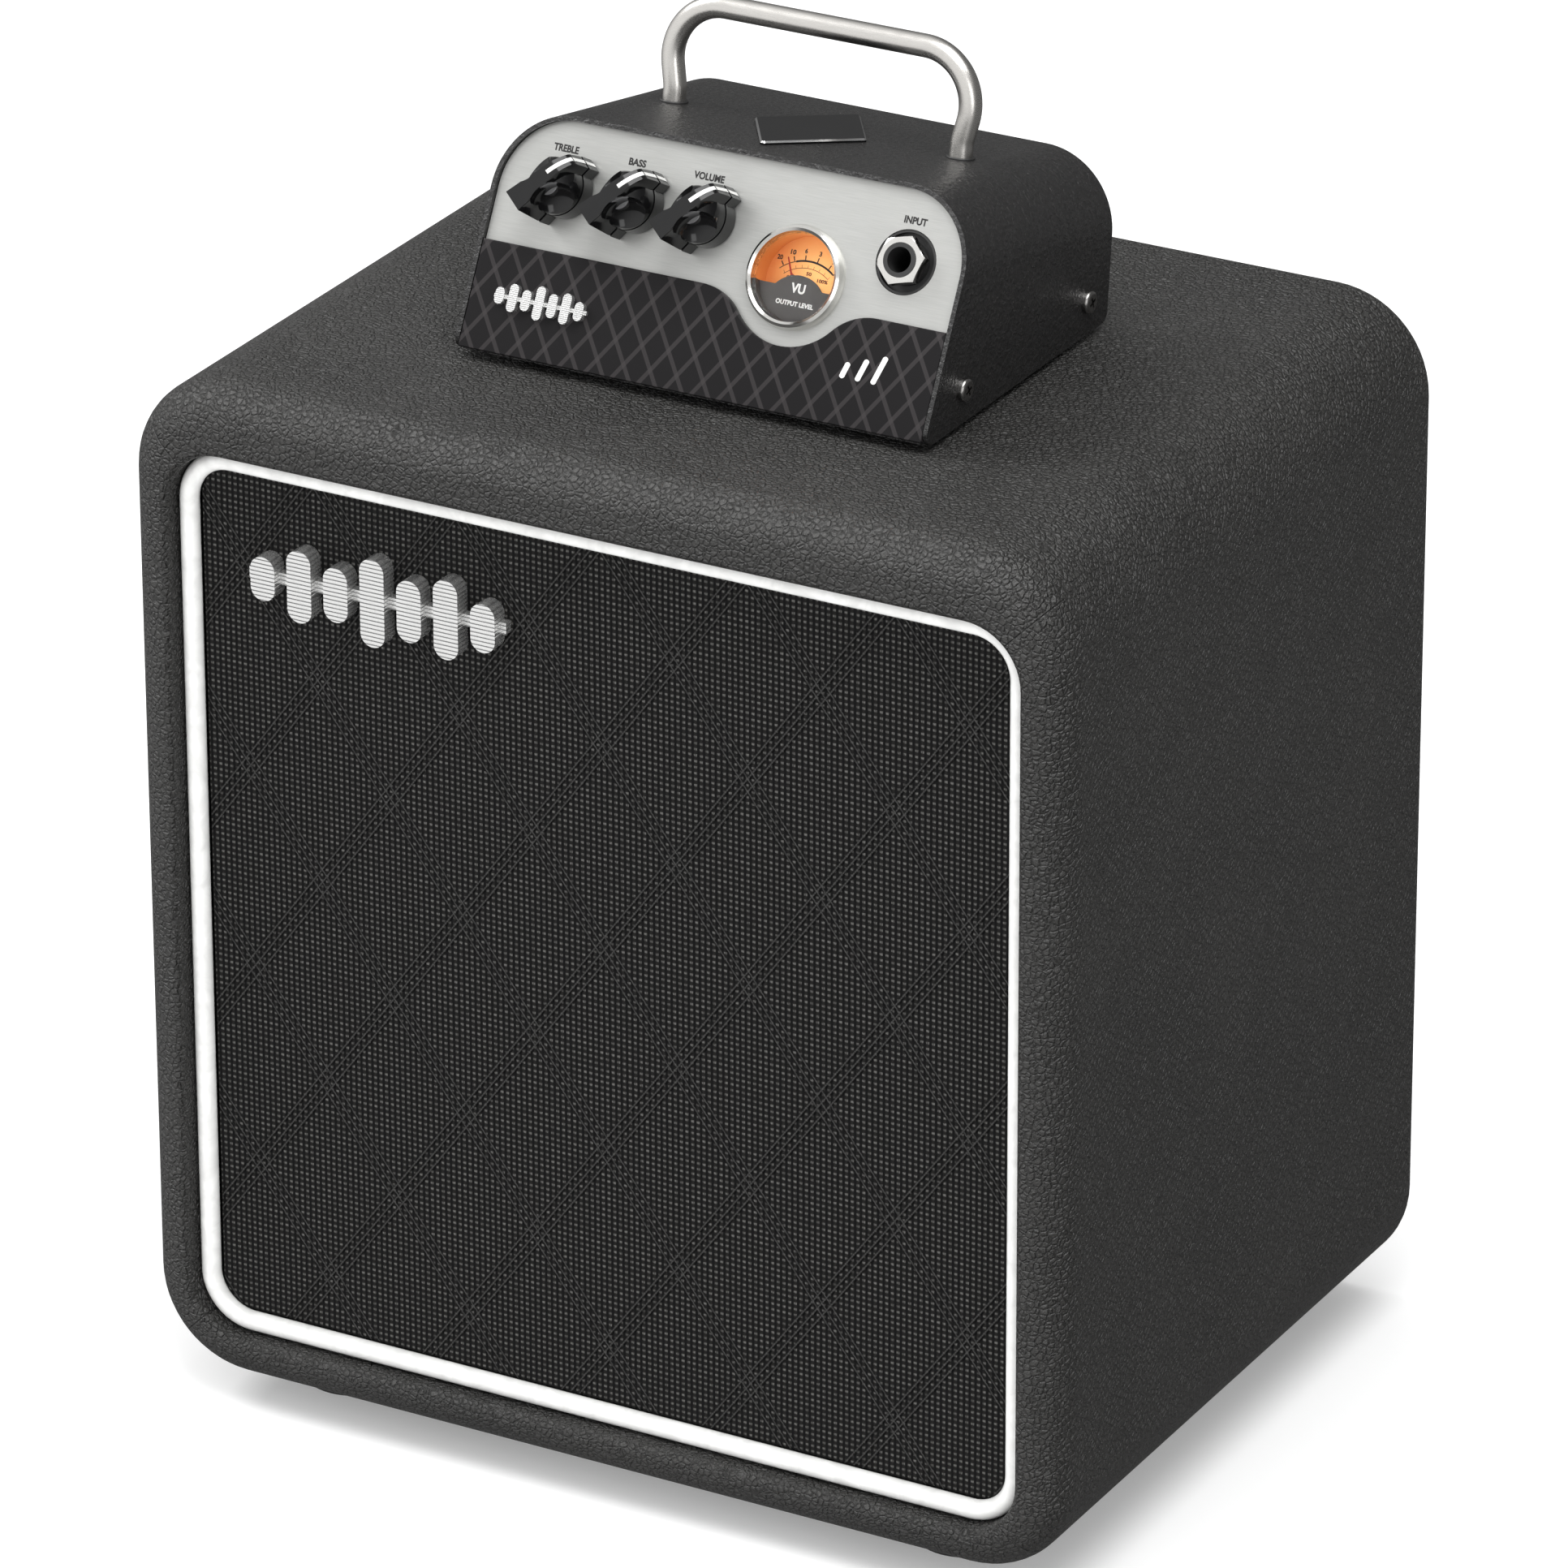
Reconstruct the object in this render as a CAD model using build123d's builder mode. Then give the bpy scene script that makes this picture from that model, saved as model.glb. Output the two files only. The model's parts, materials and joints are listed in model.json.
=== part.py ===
"""A small guitar amplifier: a slant-front metal head standing on an 8-inch speaker cabinet.

Millimetres. X runs to the right as the player sees the front, Y to the back and Z up. The origin is on the
floor, under the middle of the cabinet.
"""
from math import atan2, cos, radians, sin, tan
import os

from build123d import *

os.makedirs("parts", exist_ok=True)

# ---- driving dimensions: cabinet ------------------------------------------------------------------------
CAB_W = 268.0  # width over the vinyl
CAB_H = 280.0  # height over the vinyl, without feet
CAB_D = 205.0  # depth over the vinyl
FOOT_H = 8.0  # rubber foot under the cabinet
LONG_EDGE_R = 27.0  # big radius on the four front-to-back edges
FRONT_EDGE_R = 10.5  # soft roll round the front
REAR_EDGE_R = 5.5
VINYL_T = 1.0
SIDE_IN = 121.5  # half width of the opening, inside the vinyl
OPEN_LOW = 20.5  # opening's lower and upper edge, above the floor
OPEN_HIGH = 269.6
OPEN_R = 15.5  # corner radius of the opening
LIP_R = 1.9  # small roll inside the front opening
LINING_FRONT = 22.0  # how far the vinyl wraps into the front opening
LINING_REAR = 10.0

PIPE_R = 2.6  # white piping
PIPE_DEEP = 7.0  # piping's centre behind the front plane
PIPE_SIDE = 118.7  # half width of the piping's centre line
PIPE_LOW = 23.4
PIPE_HIGH = 266.7
PIPE_CORNER_R = 12.5

CLOTH_T = 0.8
CLOTH_DEEP = 8.0  # cloth's face behind the front plane
FRAME_T = 9.0  # grille frame's thickness
FRAME_WIDE = 16.0
BAFFLE_T = 12.0
SPEAKER_Z = 145.0  # speaker's centre above the floor
HOLE_R = 91.0  # speaker hole in the baffle

FOOT_R = 15.0
FOOT_X = 91.0  # foot's middle from the cabinet's middle
FOOT_Y = 70.0
FOOT_SEAT = 4.5  # the foot's screw head sits this far above the floor
SCREW_R = 1.7
SCREW_HEAD_R = 3.6
SCREW_HEAD_H = 2.2
WOOD_SCREW_L = 18.0
FOOT_SCREW_L = 13.0
BOLT_R = 2.0
BOLT_CIRCLE_R = 97.5  # the speaker's mounting screws
BUSH_R = 4.6  # threaded bush of a quarter-inch jack
JACK_BORE_R = 3.25
JACK_BORE_L = 24.0
JACK_PLATE_Z = 66.0
JACK_PLATE_HX = 40.0
JACK_PLATE_T = 1.5

EMBLEM_X = -63.0
EMBLEM_Z = 238.0
EMBLEM_W = 75.0
EMBLEM_H = 24.0
EMBLEM_T = 5.0

GASKET_T = 2.0
CONE_T = 0.8
STEEL_T = 1.4
FLANGE_R = 103.0
BASKET_DEEP = 50.0
BOWL_R = 60.0
POLE_HOLE_R = 20.0
CONE_R = 80.0
CAP_R = 24.0
CAP_RISE = 6.4
COIL_R = 12.7
MAGNET_R = 45.0
MAGNET_T = 14.0
TOP_PLATE_T = 5.0
LEAD_R = 1.2

REAR_INSET = 6.0  # rear panels sit this far inside the back edge
REAR_PANEL_T = 9.0
SLOT_LOW = 118.0  # open slot between the rear panels
SLOT_HIGH = 172.0
BATTEN = 14.0

# ---- driving dimensions: head ---------------------------------------------------------------------------
HEAD_W = 135.0
HEAD_X = 2.0  # middle of the head
HEAD_Y = -54.8  # lower front edge of the shell
HEAD_FOOT_H = 1.6
FRONT_RISE = 56.5  # height of the shell at the front's top edge
FRONT_LEAN = 28.7  # degrees from upright
REAR_TOP = (102.6, 42.7)  # top rear corner: back from the lower front edge, up from the base
REAR_LOW = 97.8  # lower rear corner
SHELL_R = 20.0
SHELL_T = 1.2
RECESS = 1.5  # control panel behind the shell's front edge
PANEL_T = 1.2
GAP = 0.15  # assembly gap inside the head

KNOB_X = (-46.8, -26.3, -5.8)  # treble, bass, volume
KNOB_V = 45.8
KNOB_TURN = 41.0  # pointers stand this far clockwise from straight up
KNOB_R = 7.5
KNOB_H = 16.0
KNOB_LIFT = 0.4  # gap under a knob
SHAFT_R = 3.0
METER_X = 21.8
METER_V = 35.8
METER_R = 13.4  # outside of the bezel
JACK_X = 50.2
JACK_V = 45.0
JACK_HOLE_R = 8.3
HANDLE_X = 41.3  # handle foot from the middle
HANDLE_S = 37.7  # handle foot behind the top front edge, along the slope
HANDLE_R = 3.0
WINDOW_S = 34.6
WINDOW_HALF_X = 16.1
WINDOW_HALF_S = 26.4

HANDLE_SPLAY = 4.5
HANDLE_RISE = 26.5  # tube's centre over the top surface
HANDLE_BEND_R = 14.0
COLLAR_H = 0.5
WINDOW_RISE = 0.9
POT_BUSH_R = 3.5
NUT_H = 1.8
SHAFT_TOP = 11.0  # end of a shaft over the panel
DISH_DEEP = 1.8
NUT_LIFT = 0.7
FRONT_NUT_H = 3.0
FRONT_BUSH_R = 4.4
FRONT_BORE_L = 22.0
REAR_RECESS = 0.8
REAR_V = 19.0
REAR_BORE_L = 20.0
INLET_R = 5.0
INLET_BORE_R = 2.75
INLET_L = 9.0
SLIDER_W = 4.6
SLIDER_H = 3.2
SLIDER_OUT = 2.0
SWITCH_TRAVEL = 4.0
BOARD_UP = 5.0
GROOVE_Z = 5.2  # groove round a knob, over its foot
GROOVE_H = 0.6
BODY_Z = 8.6
SCOOP_R = 7.0
SCOOP_X = 8.3
SCOOP_Z = 13.2
METER_HOLE_R = 12.2
METER_DEEP = 9.0
LENS_R = 11.6
LENS_RISE = 1.6
DIAL_Z = -5.5
MASK_Z = -2.2
NEEDLE_Z = -4.2
PIVOT_DROP = 7.0
MASK_LINE = -2.2  # straight edge of the mask, from the meter's middle
NEEDLE_L = 13.2
NEEDLE_REST = 25.0  # degrees left of upright
FASCIA_LOW = 1.9
FASCIA_HIGH = 29.8
FASCIA_T = 1.5
DIP_R = 17.5
DIP_EASE_R = 15.0
SIGN_X = -45.5
SIGN_V = 16.3
SIGN_W = 26.7
SIGN_H = 8.7
SIGN_T = 1.7

# ---- places worked out from them ------------------------------------------------------------------------
CAB_TOP = FOOT_H + CAB_H
CAB_MID = FOOT_H + CAB_H / 2
FRONT_Y = -CAB_D / 2
BACK_Y = CAB_D / 2
BOARD_IN = SIDE_IN + VINYL_T
BOARD_LOW = OPEN_LOW - VINYL_T
BOARD_HIGH = OPEN_HIGH + VINYL_T
CLOTH_Y = FRONT_Y + CLOTH_DEEP
FRAME_Y = CLOTH_Y + CLOTH_T
BAFFLE_Y = FRAME_Y + FRAME_T
SEAT_Y = BAFFLE_Y + BAFFLE_T  # the speaker's flange sits here
REAR_Y = BACK_Y - REAR_INSET - REAR_PANEL_T

HEAD_Z = CAB_TOP + HEAD_FOOT_H
LEAN = radians(FRONT_LEAN)
TOP_Y = FRONT_RISE * tan(LEAN)
SLOPE = atan2(FRONT_RISE - REAR_TOP[1], REAR_TOP[0] - TOP_Y)

# Front plane of the head: local x to the right, local y up the slanted face, z out towards the player
FACE = Plane(origin=(HEAD_X, HEAD_Y, HEAD_Z), x_dir=(1, 0, 0), z_dir=(0, -cos(LEAN), sin(LEAN)))
# Top surface of the head: local x to the right, local y back along the slope, z out of the top
TOP = Plane(
    origin=(HEAD_X, HEAD_Y + TOP_Y, HEAD_Z + FRONT_RISE), x_dir=(1, 0, 0), z_dir=(0, sin(SLOPE), cos(SLOPE))
)
PANEL = FACE.offset(-RECESS)
REAR_LEAN = atan2(REAR_TOP[0] - REAR_LOW, REAR_TOP[1])
# Rear of the head: local x to the right, local y up the rear face, z into the head
BACK = Plane(
    origin=(HEAD_X, HEAD_Y + REAR_LOW, HEAD_Z), x_dir=(1, 0, 0), z_dir=(0, -cos(REAR_LEAN), sin(REAR_LEAN))
)


def front(y):
    """A drawing plane facing the player at depth y: local x is X and local y is Z."""
    return Plane(origin=(0, y, 0), x_dir=(1, 0, 0), z_dir=(0, -1, 0))


def slab(y0, y1, half_w, low, high, radius, mode=Mode.ADD):
    """A rounded plate from depth y0 back to depth y1."""
    with BuildSketch(front(y1)) as outline:
        with Locations((0, (low + high) / 2)):
            RectangleRounded(2 * half_w, high - low, radius)
    return extrude(outline.sketch, amount=y1 - y0, mode=mode)


def disc(plane, radius, height, mode=Mode.ADD, at=(0, 0)):
    """A round boss or hole on a plane."""
    with BuildSketch(plane) as outline:
        with Locations(at):
            Circle(radius)
    return extrude(outline.sketch, amount=height, mode=mode)


def bar(plane, width, depth, height, mode=Mode.ADD, at=(0, 0)):
    """A rectangular block on a plane."""
    with BuildSketch(plane) as outline:
        with Locations(at):
            Rectangle(width, depth)
    return extrude(outline.sketch, amount=height, mode=mode)


# ==== cabinet boards and covering ========================================================================
def cabinet_ring(inset):
    """The open box of the cabinet, drawn in by inset all round, with its rolled edges."""
    with BuildPart() as ring:
        slab(
            FRONT_Y + inset, BACK_Y - inset, CAB_W / 2 - inset, FOOT_H + inset, CAB_TOP - inset,
            LONG_EDGE_R - inset,
        )
        fillet(ring.faces().sort_by(Axis.Y)[0].edges(), FRONT_EDGE_R - inset)
        fillet(ring.faces().sort_by(Axis.Y)[-1].edges(), REAR_EDGE_R - inset)
        slab(
            FRONT_Y, BACK_Y, SIDE_IN + inset, OPEN_LOW - inset, OPEN_HIGH + inset, OPEN_R + inset,
            mode=Mode.SUBTRACT,
        )
        lip = ring.faces().filter_by(Axis.Y).sort_by(Axis.Y)[0].inner_wires()[0]
        fillet(lip.edges(), LIP_R - inset)
    return ring.part


BOARDS = cabinet_ring(VINYL_T)
MITRE_W = BOARD_IN - OPEN_R
MITRE_LOW = BOARD_LOW + OPEN_R
MITRE_HIGH = BOARD_HIGH - OPEN_R
FAR_W = CAB_W / 2
FOOT_SPOTS = [(x, y) for x in (-FOOT_X, FOOT_X) for y in (-FOOT_Y, FOOT_Y)]


def board(corners):
    """One side of the box: the part of the ring of boards that lies between two mitres."""
    add(BOARDS)
    with BuildSketch(front(BACK_Y)) as wedge:
        with BuildLine():
            Polyline(*corners, close=True)
        make_face()
    extrude(wedge.sketch, amount=CAB_D, mode=Mode.INTERSECT)


with BuildPart() as top_board:
    board([(-MITRE_W, MITRE_HIGH), (MITRE_W, MITRE_HIGH), (FAR_W, CAB_TOP), (-FAR_W, CAB_TOP)])
top_board.part.label = "top_board"
export_step(top_board.part, "parts/top_board.step")

with BuildPart() as bottom_board:
    board([(-MITRE_W, MITRE_LOW), (MITRE_W, MITRE_LOW), (FAR_W, FOOT_H), (-FAR_W, FOOT_H)])
    for spot in FOOT_SPOTS:
        disc(Plane.XY.offset(FOOT_H), SCREW_R, FOOT_SEAT + FOOT_SCREW_L - FOOT_H, mode=Mode.SUBTRACT, at=spot)
bottom_board.part.label = "bottom_board"
export_step(bottom_board.part, "parts/bottom_board.step")

with BuildPart() as left_board:
    board([(-MITRE_W, MITRE_LOW), (-MITRE_W, MITRE_HIGH), (-FAR_W, CAB_TOP), (-FAR_W, FOOT_H)])
left_board.part.label = "left_board"
export_step(left_board.part, "parts/left_board.step")

with BuildPart() as right_board:
    board([(MITRE_W, MITRE_LOW), (MITRE_W, MITRE_HIGH), (FAR_W, CAB_TOP), (FAR_W, FOOT_H)])
right_board.part.label = "right_board"
export_step(right_board.part, "parts/right_board.step")

with BuildPart() as vinyl_cover:
    add(cabinet_ring(0))
    add(BOARDS, mode=Mode.SUBTRACT)
    slab(
        FRONT_Y + LINING_FRONT, BACK_Y - LINING_REAR, BOARD_IN, BOARD_LOW, BOARD_HIGH, OPEN_R + VINYL_T,
        mode=Mode.SUBTRACT,
    )
    for spot in FOOT_SPOTS:
        disc(Plane.XY.offset(FOOT_H), SCREW_R, VINYL_T, mode=Mode.SUBTRACT, at=spot)
vinyl_cover.part.label = "vinyl_cover"
export_step(vinyl_cover.part, "parts/vinyl_cover.step")

# ==== baffle, battens and rear panels ====================================================================
PLAY = 0.3  # gap round the boards inside the box
SPEAKER_SPOT = (0, SPEAKER_Z)
BATTEN_W = BOARD_IN - BATTEN / 2
SIDE_BATTEN_L = BOARD_HIGH - BOARD_LOW - 2 * OPEN_R - 4
SCREW_ROWS = (60.0, 110.0, 180.0, 230.0)
BAFFLE_SPOTS = [(side * BATTEN_W, z) for side in (-1, 1) for z in SCREW_ROWS]
REAR_SPOTS = [(side * BATTEN_W, z) for side in (-1, 1) for z in (45.0, 104.0, 186.0, 245.0)]
PLATE_SPOTS = [(x, JACK_PLATE_Z + z) for x in (-JACK_PLATE_HX, JACK_PLATE_HX) for z in (-19.0, 19.0)]
SPEAKER_BOLTS = [
    (BOLT_CIRCLE_R * cos(radians(45 + 90 * n)), SPEAKER_Z + BOLT_CIRCLE_R * sin(radians(45 + 90 * n)))
    for n in range(4)
]

with BuildPart() as baffle_board:
    slab(BAFFLE_Y, SEAT_Y, SIDE_IN - PLAY, OPEN_LOW + PLAY, OPEN_HIGH - PLAY, OPEN_R - PLAY)
    disc(front(SEAT_Y), HOLE_R, BAFFLE_T, mode=Mode.SUBTRACT, at=SPEAKER_SPOT)
    for spot in BAFFLE_SPOTS:
        disc(front(SEAT_Y), SCREW_R, 9, mode=Mode.SUBTRACT, at=spot)
    for spot in SPEAKER_BOLTS:
        disc(front(SEAT_Y), BOLT_R, BAFFLE_T, mode=Mode.SUBTRACT, at=spot)
    chamfer(baffle_board.edges().filter_by(GeomType.CIRCLE).group_by(Axis.Y)[0].sort_by(
        SortBy.RADIUS)[-1], 2)
baffle_board.part.label = "baffle_board"
export_step(baffle_board.part, "parts/baffle_board.step")

with BuildPart() as battens:
    for side in (-1, 1):
        middle = (side * BATTEN_W, (BOARD_LOW + BOARD_HIGH) / 2)
        bar(front(SEAT_Y + BATTEN), BATTEN, SIDE_BATTEN_L, BATTEN, at=middle)
        bar(front(REAR_Y), BATTEN, SIDE_BATTEN_L, BATTEN, at=middle)
    for spot in BAFFLE_SPOTS:
        disc(front(SEAT_Y + BATTEN), SCREW_R, BATTEN, mode=Mode.SUBTRACT, at=spot)
    for spot in REAR_SPOTS:
        disc(front(REAR_Y), SCREW_R, WOOD_SCREW_L - REAR_PANEL_T, mode=Mode.SUBTRACT, at=spot)
battens.part.label = "battens"
export_step(battens.part, "parts/battens.step")


def rear_panel(low, high, spots):
    """A rear panel: its far corners follow the box, and screws hold it to the rear battens."""
    slab(REAR_Y, REAR_Y + REAR_PANEL_T, SIDE_IN - PLAY, OPEN_LOW + PLAY, OPEN_HIGH - PLAY, OPEN_R - PLAY)
    with BuildSketch(front(BACK_Y)) as window:
        with Locations((0, (low + high) / 2)):
            Rectangle(CAB_W, high - low)
    extrude(window.sketch, amount=CAB_D, mode=Mode.INTERSECT)
    for spot in spots:
        disc(front(REAR_Y + REAR_PANEL_T), SCREW_R, REAR_PANEL_T, mode=Mode.SUBTRACT, at=spot)


with BuildPart() as rear_panel_upper:
    rear_panel(SLOT_HIGH, CAB_TOP, [spot for spot in REAR_SPOTS if spot[1] > SLOT_HIGH])
    fillet(rear_panel_upper.faces().sort_by(Axis.Z)[0].edges().filter_by(Axis.X), 2.5)
rear_panel_upper.part.label = "rear_panel_upper"
export_step(rear_panel_upper.part, "parts/rear_panel_upper.step")

with BuildPart() as rear_panel_lower:
    rear_panel(FOOT_H, SLOT_LOW, [spot for spot in REAR_SPOTS if spot[1] < SLOT_LOW])
    fillet(rear_panel_lower.faces().sort_by(Axis.Z)[-1].edges().filter_by(Axis.X), 2.5)
    bar(front(BACK_Y), 56, 30, CAB_D / 2, mode=Mode.SUBTRACT, at=(0, JACK_PLATE_Z))
    for spot in PLATE_SPOTS:
        disc(front(BACK_Y), SCREW_R, CAB_D / 2, mode=Mode.SUBTRACT, at=spot)
rear_panel_lower.part.label = "rear_panel_lower"
export_step(rear_panel_lower.part, "parts/rear_panel_lower.step")

PLATE_Y = REAR_Y + REAR_PANEL_T + JACK_PLATE_T  # outer face of the jack plate
JACK_SPOTS = [(-17.0, JACK_PLATE_Z), (17.0, JACK_PLATE_Z)]
with BuildPart() as jack_plate:
    with BuildSketch(front(PLATE_Y)) as outline:
        with Locations((0, JACK_PLATE_Z)):
            RectangleRounded(2 * JACK_PLATE_HX + 14, 52, 6)
        with Locations(*PLATE_SPOTS):
            Circle(SCREW_R + 0.1, mode=Mode.SUBTRACT)
        with Locations(*JACK_SPOTS):
            Circle(BUSH_R + 0.1, mode=Mode.SUBTRACT)
    extrude(amount=JACK_PLATE_T)
    fillet(jack_plate.faces().sort_by(Axis.Y)[-1].outer_wire().edges(), 0.6)
jack_plate.part.label = "jack_plate"
export_step(jack_plate.part, "parts/jack_plate.step")

with BuildPart() as speaker_jacks:
    for spot in JACK_SPOTS:
        bar(front(PLATE_Y - JACK_PLATE_T), 20, 22, 24, at=spot)
        disc(front(PLATE_Y + 3.4), BUSH_R, 6, at=spot)
        with BuildSketch(front(PLATE_Y + 2.6)) as nut:
            with Locations(spot):
                RegularPolygon(7.4, 6)
        extrude(nut.sketch, amount=2.6)
        disc(front(PLATE_Y + 3.4), JACK_BORE_R, JACK_BORE_L, mode=Mode.SUBTRACT, at=spot)
        for tag in (-5, 5):
            bar(front(PLATE_Y - JACK_PLATE_T - 24), 3, 0.8, 7, at=(spot[0] + tag, spot[1]))
speaker_jacks.part.label = "speaker_jacks"
export_step(speaker_jacks.part, "parts/speaker_jacks.step")


def wood_screw(plane, spot, length):
    """A pan-head wood screw: the head stands on the plane and the shank goes down into the wood."""
    with BuildPart(mode=Mode.PRIVATE) as screw:
        disc(plane, SCREW_HEAD_R, SCREW_HEAD_H, at=spot)
        fillet(screw.edges().sort_by(lambda edge: plane.to_local_coords(edge.center()).Z)[-1], 1.2)
        disc(plane, SCREW_R, -length, at=spot)
        for turn in (0, 90):
            with BuildSketch(plane.offset(SCREW_HEAD_H)) as slot:
                with Locations(Location((spot[0], spot[1], 0), (0, 0, turn))):
                    Rectangle(4.2, 0.9)
            extrude(slot.sketch, amount=-1.2, mode=Mode.SUBTRACT)
    add(screw.part)


BEHIND_BAFFLE = Plane(origin=(0, SEAT_Y + BATTEN, 0), x_dir=(1, 0, 0), z_dir=(0, 1, 0))
BEHIND_REAR = Plane(origin=(0, REAR_Y + REAR_PANEL_T, 0), x_dir=(1, 0, 0), z_dir=(0, 1, 0))
BEHIND_PLATE = Plane(origin=(0, PLATE_Y, 0), x_dir=(1, 0, 0), z_dir=(0, 1, 0))
UNDER_FEET = Plane(origin=(0, 0, FOOT_SEAT), x_dir=(1, 0, 0), z_dir=(0, 0, -1))
with BuildPart() as wood_screws:
    for x, z in BAFFLE_SPOTS:
        wood_screw(BEHIND_BAFFLE, (x, -z), BATTEN + 9)
    for x, z in REAR_SPOTS:
        wood_screw(BEHIND_REAR, (x, -z), WOOD_SCREW_L)
    for x, z in PLATE_SPOTS:
        wood_screw(BEHIND_PLATE, (x, -z), REAR_PANEL_T + JACK_PLATE_T)
    for x, y in FOOT_SPOTS:
        wood_screw(UNDER_FEET, (x, -y), FOOT_SCREW_L)
wood_screws.part.label = "wood_screws"
export_step(wood_screws.part, "parts/wood_screws.step")

with BuildPart() as cabinet_feet:
    for spot in FOOT_SPOTS:
        with BuildSketch(Plane.XY.offset(FOOT_H)) as wide:
            with Locations(spot):
                Circle(FOOT_R)
        extrude(wide.sketch, amount=-FOOT_H, taper=8)
        disc(Plane.XY, SCREW_HEAD_R + 1.5, FOOT_SEAT, mode=Mode.SUBTRACT, at=spot)
        disc(Plane.XY, SCREW_R, FOOT_H, mode=Mode.SUBTRACT, at=spot)
    fillet(cabinet_feet.edges().filter_by(GeomType.CIRCLE).group_by(Axis.Z)[0].group_by(
        SortBy.RADIUS)[-1], 1.5)
cabinet_feet.part.label = "cabinet_feet"
export_step(cabinet_feet.part, "parts/cabinet_feet.step")

# ==== grille =============================================================================================
CLOTH_W = PIPE_SIDE - PIPE_R - 0.1
CLOTH_LOW = PIPE_LOW + PIPE_R + 0.1
CLOTH_HIGH = PIPE_HIGH - PIPE_R - 0.1
CLOTH_R = PIPE_CORNER_R - PIPE_R

with BuildPart() as grille_frame:
    slab(
        FRAME_Y, BAFFLE_Y, CLOTH_W - CLOTH_T, CLOTH_LOW + CLOTH_T, CLOTH_HIGH - CLOTH_T, CLOTH_R - CLOTH_T
    )
    slab(
        FRAME_Y, BAFFLE_Y, CLOTH_W - FRAME_WIDE, CLOTH_LOW + FRAME_WIDE, CLOTH_HIGH - FRAME_WIDE, 4,
        mode=Mode.SUBTRACT,
    )
grille_frame.part.label = "grille_frame"
export_step(grille_frame.part, "parts/grille_frame.step")

with BuildPart() as grille_cloth:
    slab(CLOTH_Y, BAFFLE_Y - 1, CLOTH_W, CLOTH_LOW, CLOTH_HIGH, CLOTH_R)
    slab(
        FRAME_Y, BAFFLE_Y, CLOTH_W - CLOTH_T, CLOTH_LOW + CLOTH_T, CLOTH_HIGH - CLOTH_T, CLOTH_R - CLOTH_T,
        mode=Mode.SUBTRACT,
    )
grille_cloth.part.label = "grille_cloth"
export_step(grille_cloth.part, "parts/grille_cloth.step")

with BuildPart() as grille_piping:
    with BuildLine(front(FRONT_Y + PIPE_DEEP)) as pipe_line:
        FilletPolyline(
            (PIPE_SIDE, PIPE_LOW), (PIPE_SIDE, PIPE_HIGH), (-PIPE_SIDE, PIPE_HIGH), (-PIPE_SIDE, PIPE_LOW),
            close=True, radius=PIPE_CORNER_R,
        )
    pipe_path = pipe_line.wires()[0]
    with BuildSketch(Plane(origin=pipe_path @ 0, z_dir=pipe_path % 0)):
        Circle(PIPE_R)
    sweep(path=pipe_path)
grille_piping.part.label = "grille_piping"
export_step(grille_piping.part, "parts/grille_piping.step")

# Emblems: seven upright bars on a rail, like a sound level display
BAR_HEIGHTS = (0.5, 0.82, 0.62, 1.0, 0.7, 0.9, 0.55)


def emblem(plane, width, height, thickness):
    """Upright round-ended bars joined by a rail; width is over the bars."""
    pitch = width / len(BAR_HEIGHTS)
    with BuildPart(mode=Mode.PRIVATE) as sign:
        bar(plane, width, height * 0.13, thickness * 0.5)
        for n, share in enumerate(BAR_HEIGHTS):
            with BuildSketch(plane) as upright:
                with Locations(Location(((n - 3) * pitch, 0, 0), (0, 0, 90))):
                    SlotOverall(height * share, pitch * 0.66)
            extrude(upright.sketch, amount=thickness)
    add(sign.part)


EMBLEM_PLANE = Plane(origin=(EMBLEM_X, CLOTH_Y, EMBLEM_Z), x_dir=(1, 0, 0), z_dir=(0, -1, 0))
with BuildPart() as cabinet_emblem:
    emblem(EMBLEM_PLANE, EMBLEM_W, EMBLEM_H, EMBLEM_T)
cabinet_emblem.part.label = "cabinet_emblem"
export_step(cabinet_emblem.part, "parts/cabinet_emblem.step")

# ==== speaker ============================================================================================
SPEAKER_AXIS = Axis((0, 0, SPEAKER_Z), (0, 1, 0))
FLANGE_Y = SEAT_Y + GASKET_T + CONE_T  # front face of the basket's flange
BOWL_Y = FLANGE_Y + BASKET_DEEP  # back of the basket, where the motor is fixed
MAGNET_Y = BOWL_Y + TOP_PLATE_T
BACK_PLATE_Y = MAGNET_Y + MAGNET_T


def turned(*outline):
    """A ring or disc turned about the speaker's axis from (radius, depth) points."""
    with BuildSketch(Plane.XY.offset(SPEAKER_Z)) as profile:
        with BuildLine():
            Polyline(*outline, close=True)
        make_face()
    return revolve(profile.sketch, axis=SPEAKER_AXIS)


with BuildPart() as speaker_gasket:
    disc(front(SEAT_Y + GASKET_T), FLANGE_R, GASKET_T, at=SPEAKER_SPOT)
    disc(front(SEAT_Y + GASKET_T), HOLE_R + 1.5, GASKET_T, mode=Mode.SUBTRACT, at=SPEAKER_SPOT)
    for spot in SPEAKER_BOLTS:
        disc(front(SEAT_Y + GASKET_T), BOLT_R, GASKET_T, mode=Mode.SUBTRACT, at=spot)
speaker_gasket.part.label = "speaker_gasket"
export_step(speaker_gasket.part, "parts/speaker_gasket.step")

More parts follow.
